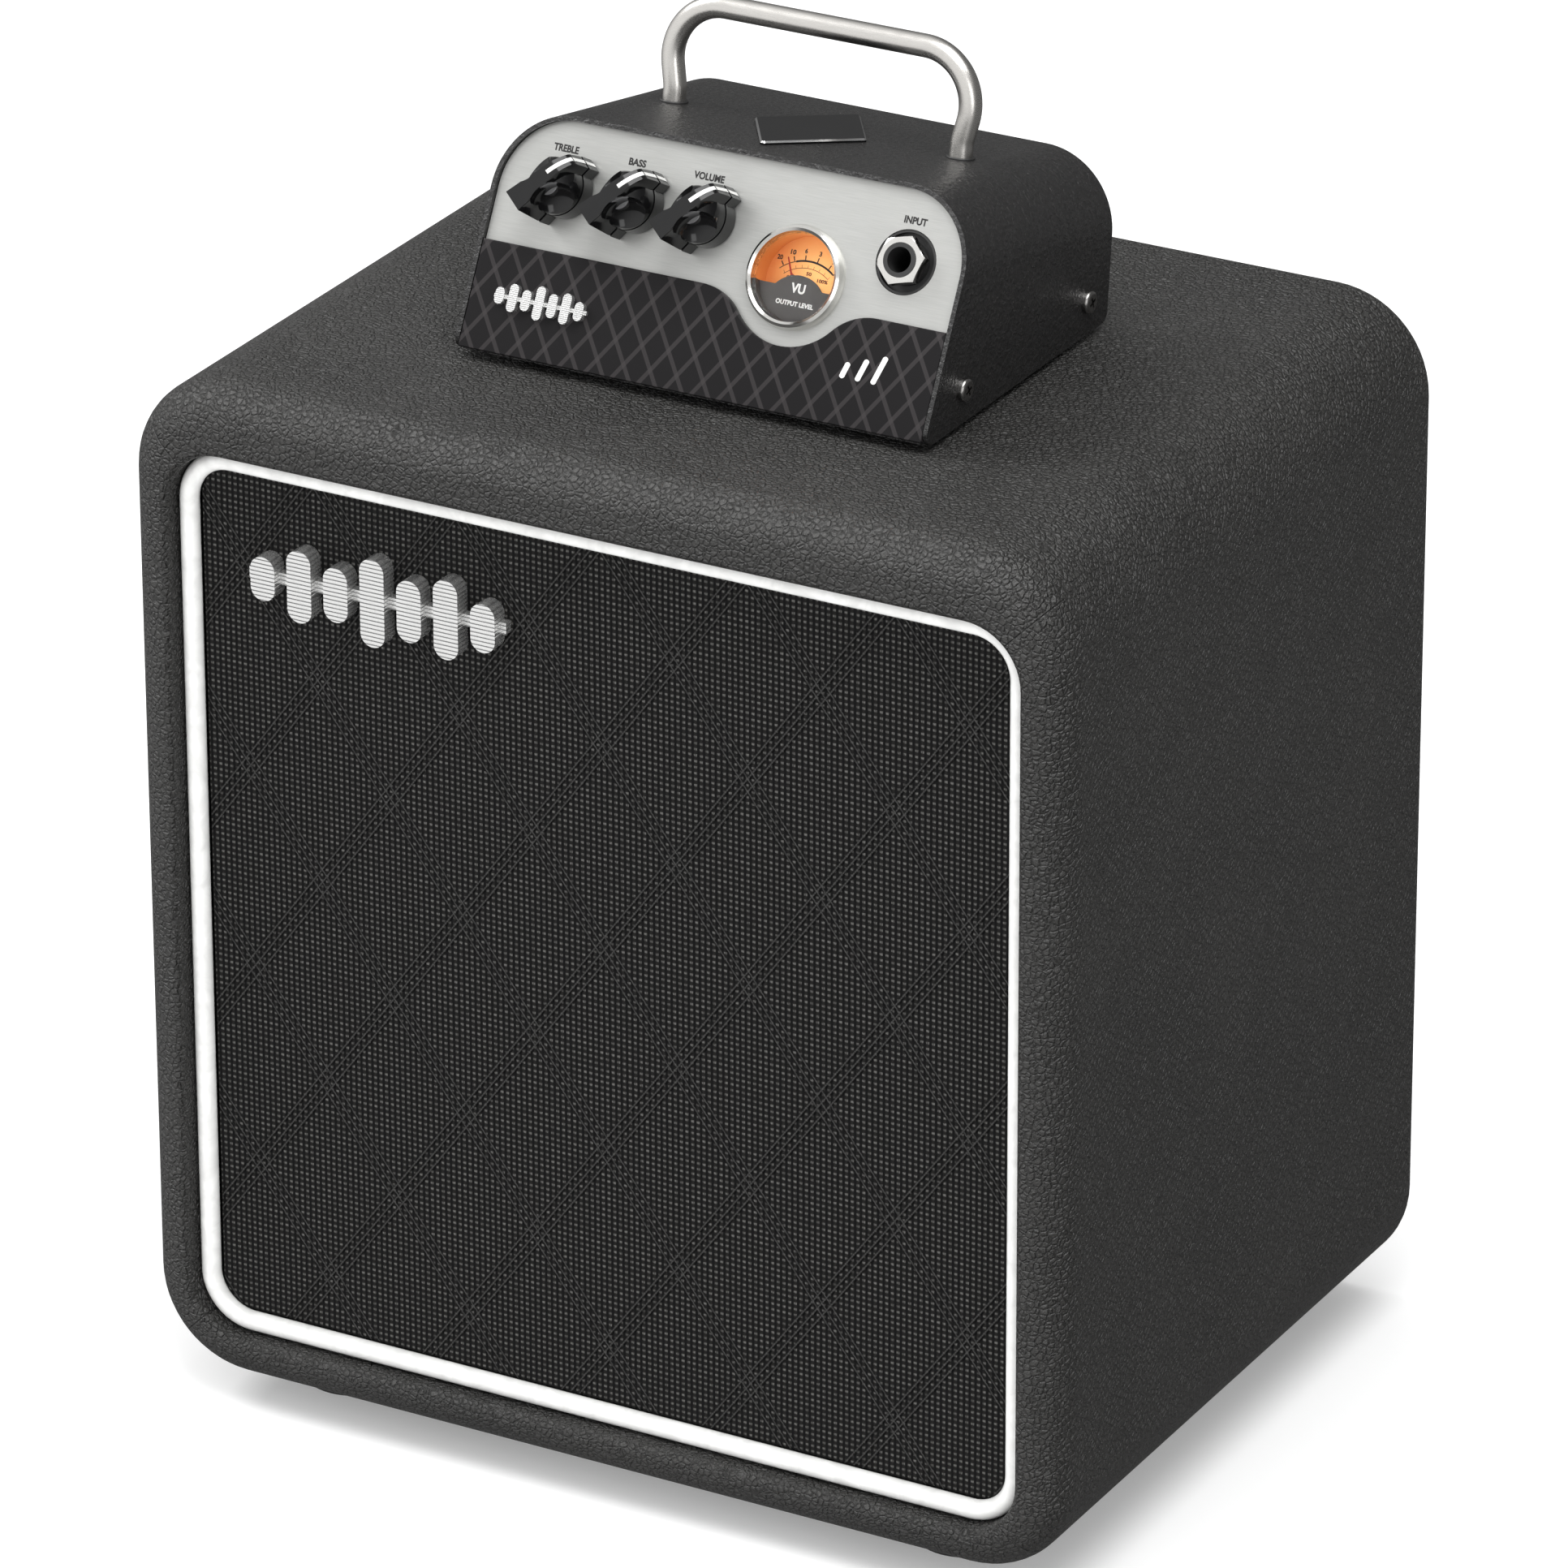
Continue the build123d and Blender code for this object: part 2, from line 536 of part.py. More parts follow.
with BuildPart() as speaker_basket:
    turned(
        (FLANGE_R, FLANGE_Y), (FLANGE_R, FLANGE_Y + STEEL_T), (HOLE_R, FLANGE_Y + STEEL_T),
        (HOLE_R - 3, FLANGE_Y + 9), (BOWL_R, BOWL_Y), (POLE_HOLE_R, BOWL_Y), (POLE_HOLE_R, BOWL_Y - STEEL_T),
        (BOWL_R - 1, BOWL_Y - STEEL_T), (HOLE_R - 4.5, FLANGE_Y + 8.5), (HOLE_R - 1.5, FLANGE_Y),
    )
    for n in range(4):
        wall = Plane(origin=(0, 0, SPEAKER_Z), x_dir=(0, 1, 0), z_dir=(cos(radians(90 * n)), 0,
                                                                       sin(radians(90 * n))))
        with BuildSketch(wall) as window:
            with Locations(((FLANGE_Y + BOWL_Y) / 2 + 2, 0)):
                RectangleRounded(BASKET_DEEP - 20, 54, 8)
        extrude(window.sketch, amount=FLANGE_R, mode=Mode.SUBTRACT)
    for spot in SPEAKER_BOLTS:
        disc(front(BOWL_Y), BOLT_R, BASKET_DEEP, mode=Mode.SUBTRACT, at=spot)
speaker_basket.part.label = "speaker_basket"
export_step(speaker_basket.part, "parts/speaker_basket.step")

with BuildPart() as magnet_top_plate:
    disc(front(MAGNET_Y), MAGNET_R - 4, TOP_PLATE_T, at=SPEAKER_SPOT)
    disc(front(MAGNET_Y), COIL_R + 0.9, TOP_PLATE_T, mode=Mode.SUBTRACT, at=SPEAKER_SPOT)
magnet_top_plate.part.label = "magnet_top_plate"
export_step(magnet_top_plate.part, "parts/magnet_top_plate.step")

with BuildPart() as speaker_magnet:
    disc(front(BACK_PLATE_Y), MAGNET_R, MAGNET_T, at=SPEAKER_SPOT)
    disc(front(BACK_PLATE_Y), MAGNET_R / 2, MAGNET_T, mode=Mode.SUBTRACT, at=SPEAKER_SPOT)
    chamfer(speaker_magnet.edges().filter_by(GeomType.CIRCLE).group_by(SortBy.RADIUS)[-1], 1.5)
speaker_magnet.part.label = "speaker_magnet"
export_step(speaker_magnet.part, "parts/speaker_magnet.step")

with BuildPart() as magnet_back_plate:
    disc(front(BACK_PLATE_Y + TOP_PLATE_T), MAGNET_R - 2, TOP_PLATE_T, at=SPEAKER_SPOT)
    chamfer(magnet_back_plate.edges().group_by(Axis.Y)[-1], 2)
    disc(front(BACK_PLATE_Y), COIL_R - 1.1, BACK_PLATE_Y - BOWL_Y, at=SPEAKER_SPOT)
magnet_back_plate.part.label = "magnet_back_plate"
export_step(magnet_back_plate.part, "parts/magnet_back_plate.step")

# The cone's edge hangs in the surround, and the neck of the cone is glued to the voice coil's former
CONE_EDGE_Y = FLANGE_Y - CONE_T
NECK_Y = BOWL_Y - 14.0
SPIDER_Y = BOWL_Y - 9.0
with BuildPart() as speaker_surround:
    turned(
        (FLANGE_R, FLANGE_Y - CONE_T), (FLANGE_R, FLANGE_Y), (HOLE_R - 1.8, FLANGE_Y),
        (HOLE_R - 3.5, FLANGE_Y + 2.6), (HOLE_R - 5.5, FLANGE_Y + 3.4), (HOLE_R - 7.5, FLANGE_Y + 2.6),
        (HOLE_R - 9, FLANGE_Y), (CONE_R + 0.4, FLANGE_Y), (CONE_R + 0.4, FLANGE_Y - CONE_T),
        (HOLE_R - 8.6, FLANGE_Y - CONE_T), (HOLE_R - 7.1, FLANGE_Y + 1.8),
        (HOLE_R - 5.5, FLANGE_Y + 2.4), (HOLE_R - 3.9, FLANGE_Y + 1.8), (HOLE_R - 2.2, FLANGE_Y - CONE_T),
    )
    for spot in SPEAKER_BOLTS:
        disc(front(FLANGE_Y), BOLT_R, CONE_T, mode=Mode.SUBTRACT, at=spot)
speaker_surround.part.label = "speaker_surround"
export_step(speaker_surround.part, "parts/speaker_surround.step")

with BuildPart() as speaker_cone:
    with BuildSketch(Plane.XY.offset(SPEAKER_Z)) as profile:
        with BuildLine():
            rim = (CONE_R, CONE_EDGE_Y)
            neck = (COIL_R + 0.3, NECK_Y)
            RadiusArc(rim, neck, 260)
            Line(neck, (COIL_R + 0.3, NECK_Y + 1.2))
            RadiusArc((COIL_R + 0.3, NECK_Y + 1.2), (CONE_R, CONE_EDGE_Y + 1.0), -260)
            Line((CONE_R, CONE_EDGE_Y + 1.0), rim)
        make_face()
    revolve(profile.sketch, axis=SPEAKER_AXIS)
speaker_cone.part.label = "speaker_cone"
export_step(speaker_cone.part, "parts/speaker_cone.step")


def dome(plane, axis, radius, base, rise, thickness):
    """A shallow dome turned about an axis: local x is the radius, and the dome rises along local y."""
    with BuildSketch(plane) as profile:
        with BuildLine():
            ThreePointArc((-radius, base), (0, base + rise), (radius, base))
            Line((radius, base), (radius, base + thickness))
            ThreePointArc((radius, base + thickness), (0, base + rise + thickness), (-radius, base + thickness))
            Line((-radius, base + thickness), (-radius, base))
        make_face()
        with Locations((radius / 2, base)):
            Rectangle(radius, 8 * abs(rise) + 8, mode=Mode.INTERSECT)
    return revolve(profile.sketch, axis=axis)


with BuildPart() as dust_cap:
    dome(Plane.XY.offset(SPEAKER_Z), SPEAKER_AXIS, CAP_R, NECK_Y - 9.2, -CAP_RISE, 0.7)
dust_cap.part.label = "dust_cap"
export_step(dust_cap.part, "parts/dust_cap.step")

with BuildPart() as voice_coil:
    disc(front(MAGNET_Y + 3), COIL_R + 0.3, MAGNET_Y + 3 - NECK_Y, at=SPEAKER_SPOT)
    disc(front(MAGNET_Y + 3), COIL_R, MAGNET_Y + 3 - NECK_Y, mode=Mode.SUBTRACT, at=SPEAKER_SPOT)
voice_coil.part.label = "voice_coil"
export_step(voice_coil.part, "parts/voice_coil.step")

with BuildPart() as speaker_spider:
    ripple = [(COIL_R + 0.7 + 2.0 * n, SPIDER_Y + (0.9 if n % 2 else -0.9)) for n in range(13)]
    back_ripple = [(radius, depth + 0.6) for radius, depth in reversed(ripple)]
    turned(*ripple, *back_ripple)
    rim_r = ripple[-1][0]
    turned(
        (rim_r - 0.1, SPIDER_Y - 0.9), (rim_r + 4, SPIDER_Y - 0.9), (rim_r + 4, BOWL_Y - STEEL_T),
        (rim_r + 2, BOWL_Y - STEEL_T), (rim_r + 2, SPIDER_Y), (rim_r - 0.1, SPIDER_Y - 0.3),
    )
speaker_spider.part.label = "speaker_spider"
export_step(speaker_spider.part, "parts/speaker_spider.step")

with BuildPart() as speaker_screws:
    for x, z in SPEAKER_BOLTS:
        with BuildSketch(front(FLANGE_Y + STEEL_T + 3.5)) as hexagon:
            with Locations((x, z)):
                RegularPolygon(4.2, 6)
        extrude(hexagon.sketch, amount=3.5)
        disc(front(FLANGE_Y + STEEL_T + 6), BOLT_R, FLANGE_Y + STEEL_T + 6 - BAFFLE_Y, at=(x, z))
speaker_screws.part.label = "speaker_screws"
export_step(speaker_screws.part, "parts/speaker_screws.step")

# Terminal strip on the underside of the basket's floor, and the two leads to the first jack
STRIP_Z = SPEAKER_Z - BOWL_R + 7
with BuildPart() as speaker_terminals:
    bar(front(BOWL_Y + 2), 26, 9, 2, at=(0, STRIP_Z))
    for side in (-1, 1):
        bar(front(BOWL_Y + 12), 4.8, 0.8, 10, at=(side * 8, STRIP_Z))
speaker_terminals.part.label = "speaker_terminals"
export_step(speaker_terminals.part, "parts/speaker_terminals.step")

TAG_Y = PLATE_Y - JACK_PLATE_T - 31
LEAD_ROUTES = (
    [(-8, BOWL_Y + 12, STRIP_Z), (-9, BOWL_Y + 27, STRIP_Z - 1), (-14, BOWL_Y + 45, STRIP_Z - 11),
     (-21, BOWL_Y + 62, STRIP_Z - 20), (-22.5, TAG_Y - 14, JACK_PLATE_Z + 1), (-22, TAG_Y, JACK_PLATE_Z)],
    [(8, BOWL_Y + 12, STRIP_Z), (8.5, BOWL_Y + 26, STRIP_Z - 2), (4, BOWL_Y + 44, STRIP_Z - 14),
     (-5, BOWL_Y + 61, STRIP_Z - 24), (-11, TAG_Y - 15, JACK_PLATE_Z - 1.5), (-12, TAG_Y, JACK_PLATE_Z)],
)


def bend_radii(route):
    """As large an arc at each corner as its two runs allow."""
    points = [Vector(*point) for point in route]
    runs = [after - before for before, after in zip(points, points[1:])]
    radii = []
    for before, after in zip(runs, runs[1:]):
        half_turn = radians(before.get_angle(after)) / 2
        radii.append(0.45 * min(before.length, after.length) / tan(half_turn))
    return radii


with BuildPart() as speaker_leads:
    for route in LEAD_ROUTES:
        radii = bend_radii(route)
        print("lead bend radii", [round(radius, 1) for radius in radii])
        with BuildLine(mode=Mode.PRIVATE) as lead_line:
            FilletPolyline(*route, radius=radii)
        lead_path = lead_line.wires()[0]
        with BuildSketch(Plane(origin=lead_path @ 0, z_dir=lead_path % 0)) as lead_end:
            Circle(LEAD_R)
        sweep(lead_end.sketch, path=lead_path)
        print("lead length", round(lead_path.length, 1))
speaker_leads.part.label = "speaker_leads"
export_step(speaker_leads.part, "parts/speaker_leads.step")

# ==== head: sheet metal ==================================================================================
SHEET_END = Plane(
    origin=TOP.from_local_coords((0, 130, 0)), x_dir=(1, 0, 0), z_dir=(0, -cos(SLOPE), sin(SLOPE))
)
INSIDE = SHELL_T + GAP  # outer surface of the shell to the parts that fit inside it


def arch(inset):
    """The head's solid round-shouldered bar, drawn in by inset, running along the slope of its top."""
    with BuildSketch(SHEET_END) as section:
        with Locations((0, -inset - 50)):
            Rectangle(HEAD_W - 2 * inset, 100)
        fillet(section.vertices().group_by(Axis.Z)[-1], SHELL_R - inset)
    return extrude(section.sketch, amount=220)


def side_cut(front_in, rear_in, base_in, corner=0.0):
    """Trim the bar to the head's side outline, drawn in from the front, rear and base."""
    y0 = front_in / cos(LEAN)
    y1 = REAR_LOW - rear_in / cos(REAR_LEAN)
    rise = 90.0
    with BuildSketch(Plane.YZ.offset(HEAD_X)) as outline:
        with BuildLine():
            Polyline(
                (HEAD_Y + y0 + base_in * tan(LEAN), HEAD_Z + base_in),
                (HEAD_Y + y1 + base_in * tan(REAR_LEAN), HEAD_Z + base_in),
                (HEAD_Y + y1 + rise * tan(REAR_LEAN), HEAD_Z + rise),
                (HEAD_Y + y0 + rise * tan(LEAN), HEAD_Z + rise),
                close=True,
            )
        make_face()
        if corner:
            fillet(outline.vertices().group_by(Axis.Z)[0], corner)
    extrude(outline.sketch, amount=HEAD_W, both=True, mode=Mode.INTERSECT)


SIDE_SCREWS = ((20.8, 9.0), (86.8, 9.0))


def side_screw_holes(radius):
    """Two holes through both side walls."""
    for back, up in SIDE_SCREWS:
        disc(
            Plane.YZ.offset(HEAD_X - HEAD_W), radius, 2 * HEAD_W, mode=Mode.SUBTRACT,
            at=(HEAD_Y + back, HEAD_Z + up),
        )


def rhombus(half_x, half_s, low, high, mode=Mode.ADD):
    """The diamond outline of the top window, between two heights over the top surface."""
    with BuildSketch(TOP.offset(low)) as diamond:
        with BuildLine():
            Polyline(
                (half_x, WINDOW_S), (0, WINDOW_S + half_s), (-half_x, WINDOW_S), (0, WINDOW_S - half_s),
                close=True,
            )
        make_face()
        fillet(diamond.vertices(), 1.0)
    return extrude(diamond.sketch, amount=high - low, mode=mode)


HANDLE_FEET = [(-HANDLE_X, HANDLE_S), (HANDLE_X, HANDLE_S)]

with BuildPart() as head_shell:
    arch(0)
    side_cut(0, 0, 0, corner=3.0)
    with BuildPart(mode=Mode.PRIVATE) as hollow:
        arch(SHELL_T)
    add(hollow.part, mode=Mode.SUBTRACT)
    side_screw_holes(SCREW_R)
    rhombus(WINDOW_HALF_X - 1.3, WINDOW_HALF_S - 2.0, -3, 1, mode=Mode.SUBTRACT)
    for spot in HANDLE_FEET:
        disc(TOP.offset(-3), HANDLE_R, 6, mode=Mode.SUBTRACT, at=spot)
head_shell.part.label = "head_shell"
export_step(head_shell.part, "parts/head_shell.step")

TRAY_T = 1.0
TRAY_WALL = 15.0
HEAD_FOOT_SPOTS = [(HEAD_X + x, HEAD_Y + y) for x in (-50, 50) for y in (16, 84)]
with BuildPart() as chassis_tray:
    arch(INSIDE)
    side_cut(RECESS + PANEL_T + 0.4, 2.0, 0)
    bar(Plane.XY.offset(HEAD_Z + TRAY_WALL), 300, 400, 100, mode=Mode.SUBTRACT)
    bar(
        Plane.XY.offset(HEAD_Z + TRAY_T), HEAD_W - 2 * INSIDE - 2 * TRAY_T, 400, 100, mode=Mode.SUBTRACT,
        at=(HEAD_X, 0),
    )
    side_screw_holes(SCREW_R)
    for spot in HEAD_FOOT_SPOTS:
        disc(Plane.XY.offset(HEAD_Z), 2.2, TRAY_T, mode=Mode.SUBTRACT, at=spot)
chassis_tray.part.label = "chassis_tray"
export_step(chassis_tray.part, "parts/chassis_tray.step")

with BuildPart() as head_feet:
    for spot in HEAD_FOOT_SPOTS:
        disc(Plane.XY.offset(CAB_TOP), 6.5, HEAD_FOOT_H, at=spot)
        disc(Plane.XY.offset(HEAD_Z), 2.1, TRAY_T + 1.2, at=spot)
head_feet.part.label = "head_feet"
export_step(head_feet.part, "parts/head_feet.step")

with BuildPart() as shell_screws:
    for side in (-1, 1):
        skin = Plane(origin=(HEAD_X + side * HEAD_W / 2, 0, 0), x_dir=(0, side, 0), z_dir=(side, 0, 0))
        for back, up in SIDE_SCREWS:
            spot = (side * (HEAD_Y + back), HEAD_Z + up)
            with BuildPart(mode=Mode.PRIVATE) as screw:
                disc(skin, 3.0, 1.7, at=spot)
                fillet(screw.edges().sort_by(Axis.X)[-1 if side > 0 else 0], 0.9)
                disc(skin, SCREW_R, -6, at=spot)
                for turn in (20, 110):
                    with BuildSketch(skin.offset(1.7)) as slot:
                        with Locations(Location((spot[0], spot[1], 0), (0, 0, turn))):
                            Rectangle(3.0, 0.7)
                    extrude(slot.sketch, amount=-1.0, mode=Mode.SUBTRACT)
            add(screw.part)
shell_screws.part.label = "shell_screws"
export_step(shell_screws.part, "parts/shell_screws.step")


def between(plane, low, high, size=400):
    """Keep only what lies between two heights over a plane."""
    bar(plane.offset(low), size, size, high - low, mode=Mode.INTERSECT)


KNOB_SPOTS = [(x, KNOB_V) for x in KNOB_X]
METER_SPOT = (METER_X, METER_V)
JACK_SPOT = (JACK_X, JACK_V)
with BuildPart() as control_panel:
    arch(INSIDE)
    between(PANEL, -PANEL_T, 0)
    side_cut(0, 0, TRAY_T + 0.6)
    for spot in KNOB_SPOTS:
        disc(PANEL, POT_BUSH_R, -PANEL_T, mode=Mode.SUBTRACT, at=spot)
    disc(PANEL, METER_HOLE_R, -PANEL_T, mode=Mode.SUBTRACT, at=METER_SPOT)
    disc(PANEL, JACK_HOLE_R, -PANEL_T, mode=Mode.SUBTRACT, at=JACK_SPOT)
control_panel.part.label = "control_panel"
export_step(control_panel.part, "parts/control_panel.step")

# Lower fascia: its top edge dips round the meter in one arc, with an easy curve at each side
with BuildPart() as front_fascia:
    with BuildSketch(PANEL) as dip:
        with Locations((0, (FASCIA_LOW + FASCIA_HIGH) / 2)):
            Rectangle(HEAD_W - 2 * INSIDE, FASCIA_HIGH - FASCIA_LOW)
        with Locations(METER_SPOT):
            Circle(DIP_R, mode=Mode.SUBTRACT)
        meets = [
            point for point in dip.vertices()
            if abs(PANEL.to_local_coords(Vector(point)).X) < HEAD_W / 2 - 5
        ]
        fillet(meets, DIP_EASE_R)
    extrude(dip.sketch, amount=FASCIA_T)
    fillet(front_fascia.faces().sort_by(lambda face: PANEL.to_local_coords(face.center()).Z)[-1].edges(), 0.35)
front_fascia.part.label = "front_fascia"
export_step(front_fascia.part, "parts/front_fascia.step")

with BuildPart() as head_emblem:
    SIGN = Plane(
        origin=PANEL.from_local_coords((SIGN_X, SIGN_V, FASCIA_T)), x_dir=(1, 0, 0), z_dir=PANEL.z_dir
    )
    emblem(SIGN, SIGN_W, SIGN_H, SIGN_T)
head_emblem.part.label = "head_emblem"
export_step(head_emblem.part, "parts/head_emblem.step")

with BuildPart() as top_window:
    rhombus(WINDOW_HALF_X, WINDOW_HALF_S, 0, WINDOW_RISE)
    chamfer(
        top_window.faces().sort_by(lambda face: TOP.to_local_coords(face.center()).Z)[-1].edges(), 0.45
    )
    rhombus(WINDOW_HALF_X - 1.5, WINDOW_HALF_S - 2.3, -SHELL_T, 0)
top_window.part.label = "top_window"
export_step(top_window.part, "parts/top_window.step")

# Carry handle: a bent tube through the top, standing square to it
with BuildPart() as carry_handle:
    upright = Plane(origin=TOP.from_local_coords((0, HANDLE_S, 0)), x_dir=(1, 0, 0), z_dir=-TOP.y_dir)
    with BuildLine(upright) as tube_line:
        FilletPolyline(
            (-HANDLE_X, -5), (-HANDLE_X, 4), (-HANDLE_X - HANDLE_SPLAY, HANDLE_RISE),
            (HANDLE_X + HANDLE_SPLAY, HANDLE_RISE), (HANDLE_X, 4), (HANDLE_X, -5),
            radius=[12, HANDLE_BEND_R, HANDLE_BEND_R, 12],
        )
    tube_path = tube_line.wires()[0]
    with BuildSketch(Plane(origin=tube_path @ 0, z_dir=tube_path % 0)):
        Circle(HANDLE_R)
    sweep(path=tube_path)
carry_handle.part.label = "carry_handle"
export_step(carry_handle.part, "parts/carry_handle.step")

with BuildPart() as handle_collars:
    for spot in HANDLE_FEET:
        disc(TOP, HANDLE_R + 0.7, COLLAR_H, at=spot)
        disc(TOP.offset(-SHELL_T - 2.5), HANDLE_R + 3, 2.5, at=spot)
    chamfer(handle_collars.edges().filter_by(GeomType.CIRCLE).group_by(Axis.Z)[-1], 0.2)
    for spot in HANDLE_FEET:
        disc(TOP.offset(-10), HANDLE_R + 0.02, 20, mode=Mode.SUBTRACT, at=spot)
handle_collars.part.label = "handle_collars"
export_step(handle_collars.part, "parts/handle_collars.step")

# ==== head: meter ========================================================================================
METER_AXIS = Axis(PANEL.from_local_coords((METER_X, METER_V, 0)), PANEL.z_dir)
METER_CUT = Plane(
    origin=PANEL.from_local_coords((METER_X, METER_V, 0)), x_dir=(1, 0, 0), z_dir=-PANEL.y_dir
)  # local x is the radius and local y the height over the panel


def spun(*outline):
    """A ring turned about the meter's axis from (radius, height over the panel) points."""
    with BuildSketch(METER_CUT) as profile:
        with BuildLine():
            Polyline(*outline, close=True)
        make_face()
    return revolve(profile.sketch, axis=METER_AXIS)


with BuildPart() as meter_bezel:
    with BuildSketch(METER_CUT) as profile:
        with BuildLine():
            Polyline(
                (METER_R, 0), (METER_R, 1.0), (METER_R - 0.5, 2.6), (METER_R - 1.2, 3.1),
                (METER_R - 1.9, 2.6), (LENS_R + 0.2, 1.2), (LENS_R + 0.2, 0), close=True,
            )
        make_face()
        fillet([v for v in profile.vertices() if METER_CUT.to_local_coords(Vector(v)).Y > 2.0], 0.5)
    revolve(profile.sketch, axis=METER_AXIS)
meter_bezel.part.label = "meter_bezel"
export_step(meter_bezel.part, "parts/meter_bezel.step")

with BuildPart() as meter_lens:
    dome(METER_CUT, METER_AXIS, LENS_R - 1.2, 0, LENS_RISE, 1.2)
    spun((LENS_R - 1.4, 0), (LENS_R - 1.4, 1.2), (LENS_R, 0.9), (LENS_R, 0))
meter_lens.part.label = "meter_lens"
export_step(meter_lens.part, "parts/meter_lens.step")

with BuildPart() as meter_housing:
    spun(
        (METER_HOLE_R - 0.1, 0), (METER_HOLE_R - 0.1, -METER_DEEP), (0, -METER_DEEP), (0, -METER_DEEP + 1.2),
        (METER_HOLE_R - 1.0, -METER_DEEP + 1.2), (METER_HOLE_R - 1.0, 0),
    )
meter_housing.part.label = "meter_housing"
export_step(meter_housing.part, "parts/meter_housing.step")

# Dial, its raised lower mask, and the needle between them
DIAL_PLANE = PANEL.offset(DIAL_Z)
MASK_PLANE = PANEL.offset(MASK_Z)
PIVOT = (METER_X, METER_V - PIVOT_DROP)
with BuildPart() as meter_dial:
    disc(DIAL_PLANE, METER_HOLE_R - 1.1, -0.8, at=METER_SPOT)
    with BuildSketch(MASK_PLANE) as mask:
        with Locations((METER_X, METER_V + MASK_LINE - 10)):
            Rectangle(60, 20)
        with Locations((METER_X, METER_V + MASK_LINE - 5.3)):
            Circle(8.4)
        with Locations(METER_SPOT):
            Circle(METER_HOLE_R - 1.1, mode=Mode.INTERSECT)
    extrude(mask.sketch, amount=-0.6)
    with BuildSketch(MASK_PLANE) as posts:
        with Locations((METER_X - 7.6, METER_V - 6.2), (METER_X + 7.6, METER_V - 6.2)):
            Circle(0.9)
    extrude(posts.sketch, amount=DIAL_Z - MASK_Z)
meter_dial.part.label = "meter_dial"
export_step(meter_dial.part, "parts/meter_dial.step")

with BuildPart() as meter_needle:
    needle_turn = Location((PIVOT[0], PIVOT[1], 0), (0, 0, NEEDLE_REST))
    with BuildSketch(PANEL.offset(NEEDLE_Z)) as pointer:
        with Locations(needle_turn):
            Polygon((-0.35, 0), (0.35, 0), (0.12, NEEDLE_L), (-0.12, NEEDLE_L), align=None)
            Polygon((-0.5, 0), (0.5, 0), (0.5, -2.6), (-0.5, -2.6), align=None)
        with Locations(PIVOT):
            Circle(1.2)
    extrude(pointer.sketch, amount=0.3)
meter_needle.part.label = "meter_needle"
export_step(meter_needle.part, "parts/meter_needle.step")

# ==== head: controls and front jack ======================================================================
with BuildPart() as potentiometers:
    for spot in KNOB_SPOTS:
        disc(PANEL.offset(-PANEL_T), 8.0, -9, at=spot)
        disc(PANEL.offset(NUT_H + 0.6), POT_BUSH_R, -NUT_H - 0.6 - PANEL_T, at=spot)
        with BuildSketch(PANEL) as nut:
            with Locations(spot):
                RegularPolygon(5.6, 6)
        extrude(nut.sketch, amount=NUT_H)
        disc(PANEL.offset(10), SHAFT_R + 0.05, -10 - PANEL_T - 7, mode=Mode.SUBTRACT, at=spot)
        for leg in (-5, 0, 5):
            bar(PANEL.offset(-PANEL_T - 8), 1.4, 5, 0.6, at=(spot[0] + leg, spot[1] - 10.2))
potentiometers.part.label = "potentiometers"
export_step(potentiometers.part, "parts/potentiometers.step")


# The knob, built standing on XY with its pointer along +Y: a round body with a blade across it, blunt at
# the tail and steep at the narrow nose, scooped for the fingers, with a groove round it near the foot
def blade(tail_half, tail, nose_half, nose):
    """Plan outline of the blade."""
    Polygon((-tail_half, tail), (tail_half, tail), (nose_half, nose), (-nose_half, nose), align=None)


